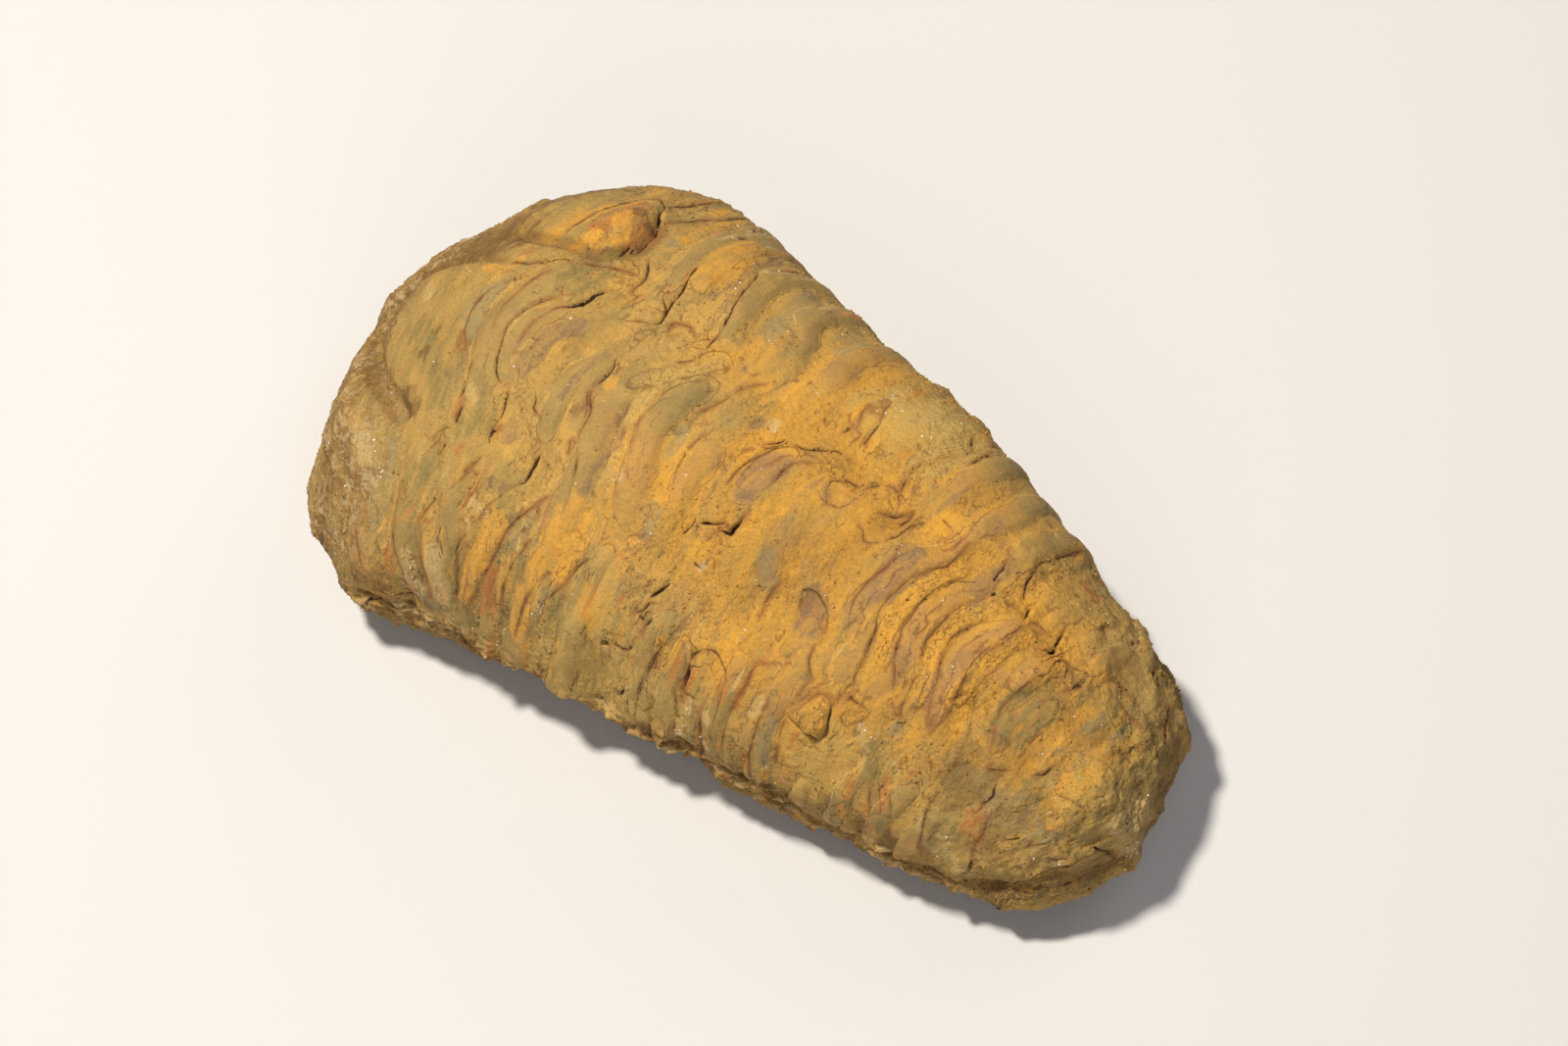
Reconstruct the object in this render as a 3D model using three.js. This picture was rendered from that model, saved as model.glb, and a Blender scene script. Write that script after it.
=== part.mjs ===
// A calymenid trilobite preserved as one loose lump of ochre siltstone: a wide blunt head,
// about thirteen ribbed body rings in three lobes, and a narrow rounded tail.
// It lies on its worn underside with the head towards -X, the tail towards +X and the crest up.
import * as THREE from "three";

// ---- Driving dimensions, in millimetres ----

// The plain body before its ribs and breaks: an oval dome whose half widths and crest
// height change along the length.
const HEAD_END = -39.5;
const TAIL_END = 41;
const STATION = [-40, -32, -24, -16, -8, 0, 8, 16, 24, 32, 42];
const NEAR_HALF_WIDTH = [27, 26.5, 23.8, 21.5, 20, 19, 17.8, 17, 16.3, 15.5, 14.5];
const FAR_HALF_WIDTH = [25, 24.5, 24, 23, 22, 21.3, 20.3, 19, 17.6, 15.5, 13];
const CREST_HEIGHT = [25, 28, 28.5, 28, 27.5, 26.5, 25.5, 24, 22, 19.5, 17];
const RIM_HEIGHT = [7, 7, 7, 7, 7, 7, 7, 6.5, 6, 5.5, 5];

// How full the dome is towards each end and across, and how far each corner of the outline is cut off.
const FULLNESS_HEAD = 2.7;
const FULLNESS_TAIL = 3.4;
const FULLNESS_ACROSS = 2.4;
const CORNER_CUT = { head: 0.4, tailNear: 0.28, tailFar: 0.34 };

// Swellings (+) and hollows (-) of the broken outline: bearing in degrees, millimetres.
const SWELLINGS = [
  [5, 0.6], [15, 2], [26, -0.2], [45, -0.7], [60, -0.4], [75, -1.2], [90, -1.2], [105, -0.2],
  [118, 0.8], [130, 2.6], [140, 3], [150, 0.9], [160, -0.3], [169, -0.5], [178, 0.1], [187, -0.4],
  [197, 0.4], [207, 1.3], [216, 2.2], [223, 4.8], [230, 0.6], [240, 0.2], [253, 0.2], [263, -0.7],
  [273, 0.7], [284, 0.2], [304, 0.5], [325, 0.6], [335, 0.6], [346, 1.4], [356, 1.3],
];

// Swellings fade away from the rim as this power of the nearness to it.
const SWELLING_HOLD = 4;

// The worn flat it rests on is this much smaller than the rim.
const UNDERSIDE_INSET = 0.35;

// Places on the body are given as [along, across] in thousandths: along runs from -1000 at the
// head end to 1000 at the tail end, across from -1000 at the near rim to 1000 at the far rim.
// Body rings and flank ribs: height and half breadth of the rounded ridge, then its crest.
const RIBS = [
  // Head: the occipital ring, and the rib that it becomes on the near cheek.
  [0.5, 1.5, [-361, 103], [-378, 26], [-393, -104], [-367, -239], [-365, -291]],
  [0.6, 1.3, [-387, -448], [-403, -518], [-397, -580], [-369, -687], [-363, -860], [-366, -960]],
  // Near flank, two ridges to a segment.
  [0.8, 1.2, [-337, -489], [-319, -589], [-338, -721], [-332, -860], [-322, -960]],
  [0.8, 0.9, [-252, -515], [-288, -656], [-308, -821], [-297, -950]],
  [0.6, 0.9, [-255, -617], [-271, -770], [-263, -920]],
  [0.6, 0.8, [-149, -600], [-156, -740], [-159, -900]],
  [0.6, 1.2, [-97, -440], [-100, -626], [-112, -800], [-115, -940]],
  [0.5, 1.1, [-40, -360], [-48, -470], [-45, -600]],
  [0.9, 0.8, [13, -520], [6, -600], [2, -700], [0, -820]],
  [0.6, 1.1, [65, -537], [70, -739], [78, -880], [80, -960]],
  [0.9, 1.3, [112, -560], [116, -660], [120, -760], [112, -900]],
  [0.8, 0.9, [143, -491], [150, -665], [152, -860]],
  [0.9, 1.1, [172, -540], [182, -680], [186, -860], [184, -960]],
  [0.6, 1.1, [203, -445], [215, -633], [224, -860], [226, -960]],
  [0.6, 1.1, [300, -560], [292, -700], [280, -920]],
  [0.6, 1, [352, -560], [346, -700], [338, -920]],
  [0.6, 1, [410, -560], [402, -720], [395, -920]],
  [0.6, 1, [462, -600], [458, -760], [450, -930]],
  // The rings of the middle lobe, from the first behind the head to the tail.
  [0.5, 1.1, [-326, 19], [-352, -99], [-320, -214]],
  [0.5, 1, [-228, 30], [-244, -15], [-257, -149], [-248, -289]],
  [0.7, 1.3, [-179, 22], [-196, -109], [-174, -350], [-192, -572], [-202, -780], [-210, -920]],
  [0.7, 1.3, [-108, 77], [-121, 24], [-130, -56], [-117, -208], [-100, -343]],
  [0.5, 1.2, [-45, 60], [-52, -66], [-47, -242], [-40, -360]],
  [0.8, 1.2, [34, 60], [22, -48], [12, -142]],
  [0.4, 1.2, [90, 90], [84, -40], [92, -200]],
  [0.4, 1.2, [160, 60], [150, -60], [158, -230]],
  [0.8, 1.2, [270, 239], [262, 126], [235, 32], [222, -166], [232, -239], [262, -406]],
  [0.8, 1.3, [332, 299], [323, 228], [300, 69], [282, -79], [290, -237], [302, -409]],
  [0.8, 1.2, [360, 102], [342, -27], [338, -124], [347, -233], [370, -359]],
  [0.7, 1, [413, 92], [405, 16], [402, -44]],
  [0.7, 1.3, [445, -27], [438, -99], [433, -169], [438, -289]],
  [0.5, 1.1, [473, -48], [475, -149], [478, -232]],
  // Far flank, one broad rib to a segment, down to the rim.
  [0.7, 1.1, [-246, 219], [-262, 346], [-267, 600], [-263, 930]],
  [0.8, 1.4, [-219, 270], [-239, 383], [-239, 529], [-228, 640], [-207, 930]],
  [0.8, 1.3, [-139, 205], [-166, 411], [-156, 544], [-130, 930]],
  [0.8, 1.3, [-55, 265], [-83, 406], [-65, 548], [-45, 930]],
  [0.8, 1.4, [12, 233], [5, 373], [25, 556], [50, 930]],
  [0.7, 1.2, [100, 560], [112, 700], [120, 930]],
  [0.7, 1.2, [172, 560], [185, 700], [192, 930]],
  [1, 1.3, [218, 263], [238, 418], [255, 521], [275, 691], [285, 930]],
  [1, 1.3, [278, 213], [298, 384], [317, 511], [343, 689], [350, 930]],
  [1, 1.3, [329, 265], [350, 399], [380, 537], [415, 684], [425, 930]],
  [0.8, 1.2, [472, 202], [503, 363], [543, 470], [570, 640], [575, 900]],
];

// Hollows drawn out along a line: depth, half breadth, then the line.
const GROOVES = [
  // The two furrows between the middle lobe and the flanks.
  [0.6, 1.8, [-375, -278], [-167, -375], [-60, -400], [73, -364], [210, -328], [355, -390]],
  [0.5, 1.8, [-282, 186], [-120, 177], [45, 200], [225, 141], [360, 204], [482, 203]],
  // The furrow in front of the occipital ring.
  [0.4, 0.9, [-411, 40], [-429, -40], [-425, -120], [-411, -170]],
  // Under the lip of the near cheek, and where the tail has split off its lower border.
  [1.4, 0.8, [-441, -929], [-403, -905], [-361, -880]],
  [1.1, 0.8, [632, -812], [696, -749], [727, -600], [717, -462], [704, -334], [690, -260]],
  // The gash across the near ribs at mid length.
  [0.7, 0.7, [10, -430], [14, -500], [-5, -560]],
];

// Single knobs (+) and breaks (-): place, radius and height.
const KNOBS = [
  { at: [-386, 347], radius: 4.2, height: 0.9 }, // rusty boss beside the far cheek
  { at: [-358, 700], radius: 4, height: 1.2 }, // broken block at the far corner of the head
  { at: [-653, -405], radius: 3.6, height: 0.7 }, // near cheek boss
  { at: [-624, -295], radius: 1.8, height: -0.8 }, // notch beside it
  { at: [-560, 350], radius: 3, height: 0.5 },
  { at: [255, -533], radius: 2, height: 1.2 }, // raised flake on the near flank
  { at: [48, -930], radius: 3, height: -1.4 }, // hollow under the near edge
  { at: [-50, -640], radius: 3.4, height: 0.5 },
  { at: [140, 470], radius: 5, height: 0.6 }, // clinging matrix on the far flank
  { at: [402, 400], radius: 2, height: -0.7 }, // pitted matrix
  { at: [560, -150], radius: 4, height: 0.5 },
  { at: [800, 300], radius: 4, height: 0.4 },
];

// Coarse unevenness of the stone: size of the lumps and their height.
const LUMPS = [
  { size: 7, height: 0.35 },
  { size: 2.6, height: 0.22 },
];
// Below the rim the stone is freshly broken and rougher.
const BREAKS = [
  { size: 8, height: 1.3 },
  { size: 2.6, height: 0.6 },
];

// Facets: rows along (close together over the ribs), columns across, rings round the flank below.
const RIBBED_STRETCH = [-0.46, 0.6];
const HEAD_ROWS = 11;
const RIBBED_ROWS = 84;
const TAIL_ROWS = 9;
const COLUMNS = 34;
const SKIRT_RINGS = 4;

const MATERIAL = { color: 0xbd8f45, roughness: 0.85, metalness: 0 };

// ---- Helpers ----

// A smooth curve through the values at the stations, with flat ends.
function along(stations, values, at) {
  const last = stations.length - 1;
  const x = THREE.MathUtils.clamp(at, stations[0], stations[last]);
  let i = 0;
  while (i < last - 1 && x >= stations[i + 1]) i += 1;
  const slope = (k) => {
    const before = Math.max(k - 1, 0);
    const after = Math.min(k + 1, last);
    return (values[after] - values[before]) / (stations[after] - stations[before]);
  };
  const gap = stations[i + 1] - stations[i];
  const t = (x - stations[i]) / gap;
  const blend = t * t * (3 - 2 * t);
  const rise = t * (1 - t) * (1 - t) * slope(i) - t * t * (1 - t) * slope(i + 1);
  return values[i] + (values[i + 1] - values[i]) * blend + gap * rise;
}

// A quarter turn of a superellipse: t from -1 to 1 gives its sine-like and cosine-like parts.
function roundPair(t, fullness) {
  const s = Math.sin((t * Math.PI) / 2);
  const c = Math.cos((t * Math.PI) / 2);
  const r = (Math.abs(s) ** fullness + Math.abs(c) ** fullness) ** (-1 / fullness);
  return [r * s, r * c];
}

const swellingBearings = [];
const swellingHeights = [];
for (const turn of [-360, 0, 360]) {
  for (const [bearing, height] of SWELLINGS) {
    swellingBearings.push(bearing + turn);
    swellingHeights.push(height);
  }
}

// The plain body's surface at p along and q across, both -1 to 1.
function bodyPoint(p, q) {
  const [sp, cp] = roundPair(p, p < 0 ? FULLNESS_HEAD : FULLNESS_TAIL);
  const [sq, cq] = roundPair(q, FULLNESS_ACROSS);
  const tailCut = q < 0 ? CORNER_CUT.tailNear : CORNER_CUT.tailFar;
  const cut = p < 0 ? CORNER_CUT.head : tailCut;
  const reach = p < 0 ? -HEAD_END : TAIL_END;
  const x = reach * sp * Math.sqrt(1 - cut * sq * sq);
  const halfWidth = along(STATION, q < 0 ? NEAR_HALF_WIDTH : FAR_HALF_WIDTH, x);
  const y = halfWidth * sq * Math.sqrt(1 - cut * sp * sp);
  const rim = along(STATION, RIM_HEIGHT, x);
  const z = rim + (along(STATION, CREST_HEIGHT, x) - rim) * cp * cq;
  const bearing = (THREE.MathUtils.radToDeg(Math.atan2(y, x)) + 360) % 360;
  const edgeShare = sp * sp + sq * sq - sp * sp * sq * sq;
  const swelling = along(swellingBearings, swellingHeights, bearing) * edgeShare ** SWELLING_HOLD;
  const distance = Math.hypot(x, y) + 1e-6;
  return new THREE.Vector3(x + (swelling * x) / distance, y + (swelling * y) / distance, z);
}

// The outward direction of the plain body, taken just inside the rim where it is well defined.
function bodyNormal(p, q) {
  const inside = 0.985;
  const step = 0.004;
  const a = THREE.MathUtils.clamp(p, -inside, inside);
  const b = THREE.MathUtils.clamp(q, -inside, inside);
  const lengthwise = bodyPoint(a + step, b).sub(bodyPoint(a - step, b));
  const crosswise = bodyPoint(a, b + step).sub(bodyPoint(a, b - step));
  return lengthwise.cross(crosswise).normalize();
}

const placed = ([alongShare, acrossShare]) => bodyPoint(alongShare / 1000, acrossShare / 1000);

// Evenly spaced points along a smooth line drawn on the body.
const LINE_STEP = 0.6;
function lineOnBody(places) {
  const curve = new THREE.CatmullRomCurve3(places.map(placed), false, "centripetal");
  return curve.getSpacedPoints(Math.ceil(curve.getLength() / LINE_STEP));
}

const drawn = ([height, breadth, ...places]) => ({ height, breadth, points: lineOnBody(places) });
const ribs = RIBS.map(drawn);
const grooves = GROOVES.map(drawn);
const knobs = KNOBS.map((knob) => ({ ...knob, centre: placed(knob.at) }));

const bell = (distance, breadth) => Math.exp(-((distance / breadth) ** 2));

function nearest(points, point) {
  let best = Infinity;
  for (const other of points) best = Math.min(best, other.distanceToSquared(point));
  return Math.sqrt(best);
}

// A repeatable number between -1 and 1 for each corner of a cubic lattice.
function cornerValue(i, j, k) {
  let h = Math.imul(i, 374761393) ^ Math.imul(j, 668265263) ^ Math.imul(k, 1274126177);
  h = Math.imul(h ^ (h >>> 13), 1103515245);
  return (((h ^ (h >>> 16)) >>> 0) / 4294967295) * 2 - 1;
}

// Smooth unevenness made by blending the lattice corners round a point.
function unevenness(point, size) {
  const cell = point.clone().divideScalar(size);
  const low = cell.clone().floor();
  const part = cell.sub(low);
  const ease = (t) => t * t * (3 - 2 * t);
  let sum = 0;
  for (let corner = 0; corner < 8; corner += 1) {
    const di = corner & 1;
    const dj = (corner >> 1) & 1;
    const dk = corner >> 2;
    const wx = di ? ease(part.x) : 1 - ease(part.x);
    const wy = dj ? ease(part.y) : 1 - ease(part.y);
    const wz = dk ? ease(part.z) : 1 - ease(part.z);
    sum += wx * wy * wz * cornerValue(low.x + di, low.y + dj, low.z + dk);
  }
  return sum;
}

// How far the stone stands out from the plain body at a point of it.
function relief(point) {
  let height = 0;
  for (const rib of ribs) height += rib.height * bell(nearest(rib.points, point), rib.breadth);
  for (const groove of grooves) {
    height -= groove.height * bell(nearest(groove.points, point), groove.breadth);
  }
  for (const knob of knobs) {
    height += knob.height * bell(knob.centre.distanceTo(point), knob.radius);
  }
  for (const lump of LUMPS) height += lump.height * unevenness(point, lump.size);
  return height;
}

function stonePoint(p, q) {
  const point = bodyPoint(p, q);
  return point.add(bodyNormal(p, q).multiplyScalar(relief(point)));
}

// ---- The fossil ----

// Where each row lies along the body: widely spaced on the head and tail, closely on the ribs.
function rowShare(row) {
  const [start, end] = RIBBED_STRETCH;
  const past = row - HEAD_ROWS;
  if (past < 0) return -1 + ((1 + start) * row) / HEAD_ROWS;
  if (past <= RIBBED_ROWS) return start + ((end - start) * past) / RIBBED_ROWS;
  return end + ((1 - end) * (past - RIBBED_ROWS)) / TAIL_ROWS;
}

function makeFossil() {
  const rows = HEAD_ROWS + RIBBED_ROWS + TAIL_ROWS;
  const positions = [];
  const faces = [];
  const addPoint = (point) => positions.push(point.x, point.y, point.z) / 3 - 1;

  // The upper surface, down to the rim all round.
  const upper = [];
  for (let row = 0; row <= rows; row += 1) {
    upper.push([]);
    for (let column = 0; column <= COLUMNS; column += 1) {
      upper[row].push(addPoint(stonePoint(rowShare(row), (2 * column) / COLUMNS - 1)));
    }
  }
  for (let row = 0; row < rows; row += 1) {
    for (let column = 0; column < COLUMNS; column += 1) {
      const [a, b] = [upper[row][column], upper[row + 1][column]];
      const [d, c] = [upper[row][column + 1], upper[row + 1][column + 1]];
      faces.push(a, b, c, a, c, d);
    }
  }

  // The rim, walked once round: near flank, tail, far flank, head.
  const rim = [];
  for (let row = 0; row < rows; row += 1) rim.push(upper[row][0]);
  for (let column = 0; column < COLUMNS; column += 1) rim.push(upper[rows][column]);
  for (let row = rows; row > 0; row -= 1) rim.push(upper[row][COLUMNS]);
  for (let column = COLUMNS; column > 0; column -= 1) rim.push(upper[0][column]);

  // Below the rim the broken flank curves inwards to the worn flat.
  let above = rim;
  for (let ring = 1; ring <= SKIRT_RINGS; ring += 1) {
    const turn = ((ring / SKIRT_RINGS) * Math.PI) / 2;
    const below = rim.map((index) => {
      const edge = new THREE.Vector3().fromArray(positions, index * 3);
      const inset = 1 - UNDERSIDE_INSET * (1 - Math.cos(turn));
      const outward = edge.clone().setZ(0).normalize();
      const point = new THREE.Vector3(edge.x * inset, edge.y * inset, edge.z * (1 - Math.sin(turn)));
      let broken = 0;
      for (const rough of BREAKS) broken += rough.height * unevenness(point, rough.size);
      return addPoint(point.add(outward.multiplyScalar(broken * Math.sin(turn))));
    });
    for (let k = 0; k < rim.length; k += 1) {
      const next = (k + 1) % rim.length;
      faces.push(above[k], below[k], below[next], above[k], below[next], above[next]);
    }
    above = below;
  }

  // The worn flat itself.
  const middle = addPoint(new THREE.Vector3(0, 0, 0));
  for (let k = 0; k < rim.length; k += 1) {
    positions[above[k] * 3 + 2] = 0;
    faces.push(middle, above[(k + 1) % rim.length], above[k]);
  }

  const geometry = new THREE.BufferGeometry();
  geometry.setAttribute("position", new THREE.Float32BufferAttribute(positions, 3));
  geometry.setIndex(faces);

  // The part's origin is the middle of its box, on the surface that it lies on.
  geometry.computeBoundingBox();
  const centre = geometry.boundingBox.getCenter(new THREE.Vector3());
  geometry.translate(-centre.x, -centre.y, 0);
  geometry.computeVertexNormals();

  const mesh = new THREE.Mesh(geometry, new THREE.MeshStandardMaterial(MATERIAL));
  mesh.name = "trilobite_fossil";
  return mesh;
}

const fossil = new THREE.Group();
fossil.name = "fossil_trilobite";
fossil.add(makeFossil());

export default fossil;
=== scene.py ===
import math
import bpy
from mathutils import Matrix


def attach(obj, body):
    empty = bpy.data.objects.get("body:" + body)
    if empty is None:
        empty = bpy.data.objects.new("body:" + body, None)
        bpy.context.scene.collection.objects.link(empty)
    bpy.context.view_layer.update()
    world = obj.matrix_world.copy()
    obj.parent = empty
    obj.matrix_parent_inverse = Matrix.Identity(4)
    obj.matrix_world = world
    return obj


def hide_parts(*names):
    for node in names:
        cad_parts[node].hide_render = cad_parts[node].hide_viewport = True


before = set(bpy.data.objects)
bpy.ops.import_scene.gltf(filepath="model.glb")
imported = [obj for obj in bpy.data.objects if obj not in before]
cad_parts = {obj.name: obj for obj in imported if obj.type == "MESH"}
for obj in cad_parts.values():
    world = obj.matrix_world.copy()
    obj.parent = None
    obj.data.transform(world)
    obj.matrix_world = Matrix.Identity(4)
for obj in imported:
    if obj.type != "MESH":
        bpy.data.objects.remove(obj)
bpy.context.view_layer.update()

from types import SimpleNamespace

import bpy
import numpy as np
from mathutils import Vector
from mathutils.bvhtree import BVHTree

# =====================================================================================
# The fossil: a whole calymenid trilobite turned to ochre siltstone, one solid lump.
# It split out of its bed by itself, so ribs, furrows and breaks are all the one stone.
# The solid gives the lumps and ribs; fissures, bands and grain are carved in here.
# =====================================================================================

MM = 0.001

# The plain body, in millimetres: half widths and crest height at stations along it.
HEAD_END = -39.5
TAIL_END = 41
STATION = [-40, -32, -24, -16, -8, 0, 8, 16, 24, 32, 42]
NEAR_HALF_WIDTH = [27, 26.5, 23.8, 21.5, 20, 19, 17.8, 17, 16.3, 15.5, 14.5]
FAR_HALF_WIDTH = [25, 24.5, 24, 23, 22, 21.3, 20.3, 19, 17.6, 15.5, 13]
CREST_HEIGHT = [25, 28, 28.5, 28, 27.5, 26.5, 25.5, 24, 22, 19.5, 17]
RIM_HEIGHT = [7, 7, 7, 7, 7, 7, 7, 6.5, 6, 5.5, 5]
FULLNESS_HEAD = 2.7
FULLNESS_TAIL = 3.4
FULLNESS_ACROSS = 2.4
CORNER_CUT_HEAD = 0.4
CORNER_CUT_TAIL_NEAR = 0.28
CORNER_CUT_TAIL_FAR = 0.34
# How far the outline swells out, in millimetres, at bearings round it from the tail.
SWELLINGS = [
    (5, 0.6), (15, 2), (26, -0.2), (45, -0.7), (60, -0.4), (75, -1.2), (90, -1.2), (105, -0.2),
    (118, 0.8), (130, 2.6), (140, 3), (150, 0.9), (160, -0.3), (169, -0.5), (178, 0.1), (187, -0.4),
    (197, 0.4), (207, 1.3), (216, 2.2), (223, 4.8), (230, 0.6), (240, 0.2), (253, 0.2), (263, -0.7),
    (273, 0.7), (284, 0.2), (304, 0.5), (325, 0.6), (335, 0.6), (346, 1.4), (356, 1.3),
]
SWELLING_HOLD = 4  # how closely the swellings keep to the edge
UNDERSIDE_INSET = 0.35
BODY_MIDDLE = (1.09, -0.11)  # the box's middle, measured from the body's own zero

# How finely the surface is divided: along, across, down the flank and in over the underside.
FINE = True
ROWS, COLUMNS, SKIRT_RINGS, UNDER_RINGS = (840, 520, 36, 24) if FINE else (440, 272, 20, 12)
MOST_TRIANGLES = 194_000
SPARSE = 4  # the solid's own lumps are read at every fourth point

# These keep a division from failing where a length is nothing.
TINY = 1e-9
LEAST_REACH = 1e-6
LEAST_SPAN = 1e-12


def smooth_curve(stations, values, at):
    """A smooth curve through values given at stations, read anywhere between them."""
    stations, values = np.asarray(stations, float), np.asarray(values, float)
    last = len(stations) - 1
    order = np.arange(last + 1)
    before, after = np.maximum(order - 1, 0), np.minimum(order + 1, last)
    slope = (values[after] - values[before]) / (stations[after] - stations[before])
    x = np.clip(at, stations[0], stations[-1])
    i = np.clip(np.searchsorted(stations, x, side="right") - 1, 0, last - 1)
    gap = stations[i + 1] - stations[i]
    t = (x - stations[i]) / gap
    blend = t * t * (3 - 2 * t)
    rise = t * (1 - t) ** 2 * slope[i] - t * t * (1 - t) * slope[i + 1]
    return values[i] + (values[i + 1] - values[i]) * blend + gap * rise


def round_pair(t, fullness):
    """The two coordinates of a superellipse: rounder or squarer than a circle by its fullness."""
    s, c = np.sin(t * np.pi / 2), np.cos(t * np.pi / 2)
    r = (np.abs(s) ** fullness + np.abs(c) ** fullness) ** (-1 / fullness)
    return r * s, r * c


def body_point(p, q):
    """The plain body's surface, in millimetres: p runs -1 head to 1 tail, q -1 near to 1 far."""
    p, q = np.broadcast_arrays(np.asarray(p, float), np.asarray(q, float))
    head, near = p < 0, q < 0
    sp, cp = round_pair(p, np.where(head, FULLNESS_HEAD, FULLNESS_TAIL))
    sq, cq = round_pair(q, FULLNESS_ACROSS)
    cut = np.where(head, CORNER_CUT_HEAD, np.where(near, CORNER_CUT_TAIL_NEAR, CORNER_CUT_TAIL_FAR))
    x = np.where(head, -HEAD_END, TAIL_END) * sp * np.sqrt(1 - cut * sq**2)
    half_width = np.where(
        near, smooth_curve(STATION, NEAR_HALF_WIDTH, x), smooth_curve(STATION, FAR_HALF_WIDTH, x)
    )
    y = half_width * sq * np.sqrt(1 - cut * sp**2)
    rim = smooth_curve(STATION, RIM_HEIGHT, x)
    z = rim + (smooth_curve(STATION, CREST_HEIGHT, x) - rim) * cp * cq
    bearing = np.degrees(np.arctan2(y, x)) % 360
    turns = [(angle + turn, height) for turn in (-360, 0, 360) for angle, height in SWELLINGS]
    edge = sp**2 + sq**2 - sp**2 * sq**2  # 0 in the middle, 1 round the rim
    swelling = smooth_curve(*zip(*turns), bearing) * edge**SWELLING_HOLD
    reach = np.hypot(x, y) + LEAST_REACH
    x, y = x * (1 + swelling / reach), y * (1 + swelling / reach)
    return np.stack([x - BODY_MIDDLE[0], y - BODY_MIDDLE[1], z], -1)


def rim_walk(grid):
    """The border of a grid of the upper surface, once round: near flank, tail, far flank, head."""
    return np.concatenate([grid[:-1, 0], grid[-1, :-1], grid[:0:-1, -1], grid[0, :0:-1]])


def lower_rings(rim):
    """Rings from the rim down the flank and in over the flat that the stone lies on."""
    middle = np.array([*BODY_MIDDLE, 0])
    rim = rim + middle
    rings = [rim]
    for ring in range(1, SKIRT_RINGS + 1):
        turn = ring / SKIRT_RINGS * np.pi / 2
        inset = 1 - UNDERSIDE_INSET * (1 - np.cos(turn))
        rings.append(rim * (inset, inset, 1 - np.sin(turn)))
    for ring in range(1, UNDER_RINGS):
        rings.append(rings[SKIRT_RINGS] * (1 - ring / UNDER_RINGS))
    return np.stack(rings) - middle


def loop_faces(above, below):
    """The faces between two closed rings of points."""
    return np.stack([above, below, np.roll(below, -1), np.roll(above, -1)], -1)


def plain_stone():
    """A closed mesh of the plain body, in millimetres, with how its two grids are numbered."""
    p = np.linspace(-1, 1, ROWS + 1)
    q = np.linspace(-1, 1, COLUMNS + 1)
    upper = body_point(p[:, None], q[None, :])
    lower = lower_rings(rim_walk(upper))
    upper_index = np.arange(upper[..., 0].size).reshape(upper.shape[:2])
    rim_index = rim_walk(upper_index)
    lower_index = np.arange(lower[1:, :, 0].size).reshape(lower.shape[0] - 1, -1) + upper_index.size
    lower_index = np.vstack([rim_index, lower_index])
    centre_index = lower_index.max() + 1
    points = np.vstack([upper.reshape(-1, 3), lower[1:].reshape(-1, 3), [[0, 0, 0]]])
    nearer, farther = upper_index[:, :-1], upper_index[:, 1:]
    quads = [np.stack([nearer[:-1], nearer[1:], farther[1:], farther[:-1]], -1)]
    quads += [loop_faces(above, below) for above, below in zip(lower_index[:-1], lower_index[1:])]
    quads = np.vstack([group.reshape(-1, 4) for group in quads])
    inner = lower_index[-1]
    closing = np.stack([np.full_like(inner, centre_index), np.roll(inner, -1), inner], -1)
    return points, quads, closing, upper_index, lower_index


def mesh_of(name, points, quads, triangles):
    """A Blender mesh of these points and faces."""
    corners = np.concatenate([quads.ravel(), triangles.ravel()])
    starts = [np.arange(len(quads)) * 4, len(quads) * 4 + np.arange(len(triangles)) * 3]
    starts = np.concatenate(starts)
    mesh = bpy.data.meshes.new(name)
    mesh.vertices.add(len(points))
    mesh.vertices.foreach_set("co", np.asarray(points, np.float32).ravel())
    mesh.loops.add(len(corners))
    mesh.loops.foreach_set("vertex_index", corners.astype(np.int32))
    mesh.polygons.add(len(starts))
    mesh.polygons.foreach_set("loop_start", starts.astype(np.int32))
    mesh.update(calc_edges=True)
    return mesh


def softened(grid, reach, wrap):
    """Each value of a grid averaged with those this many places to either side, both ways."""
    for axis in (0, 1):
        mode = "wrap" if wrap and axis == 1 else "edge"
        pads = [(reach + 1, reach) if a == axis else (0, 0) for a in (0, 1)]
        total = np.cumsum(np.pad(grid, pads, mode=mode), axis)
        before = np.arange(grid.shape[axis])
        window = 2 * reach + 1
        grid = (np.take(total, before + window, axis) - np.take(total, before, axis)) / window
    return grid


NORMAL_REACH = COLUMNS // 90  # takes out the wavering of the normals


def outward(mesh, upper_index, lower_index):
    """The mesh's normals, evened out, as they waver where its points crowd at the corners."""
    normals = np.empty(len(mesh.vertices) * 3, np.float32)
    mesh.vertices.foreach_get("normal", normals)
    normals = normals.reshape(-1, 3).astype(float)
    skirt = lower_index[:SKIRT_RINGS]
    for axis in range(3):
        normals[upper_index, axis] = softened(normals[upper_index, axis], NORMAL_REACH, False)
        normals[skirt, axis] = softened(normals[skirt, axis], NORMAL_REACH, True)
    return normals / np.maximum(np.linalg.norm(normals, axis=1), TINY)[:, None]


SOLID_REACH = 6  # the solid is looked for this far out and in from the plain body


def solid_lumps(points, normals):
    """How far the solid stands out from each point, in millimetres."""
    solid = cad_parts["trilobite_fossil"].data
    tree = BVHTree.FromPolygons(
        [vertex.co / MM for vertex in solid.vertices], [face.vertices[:] for face in solid.polygons]
    )
    heights = np.zeros(len(points))
    for k, (point, normal) in enumerate(zip(points, normals)):
        way = Vector(normal)
        hit = tree.ray_cast(Vector(point) + way * SOLID_REACH, -way, 2 * SOLID_REACH)
        if hit[0] is not None:
            heights[k] = SOLID_REACH - hit[3]
    return heights


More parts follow.
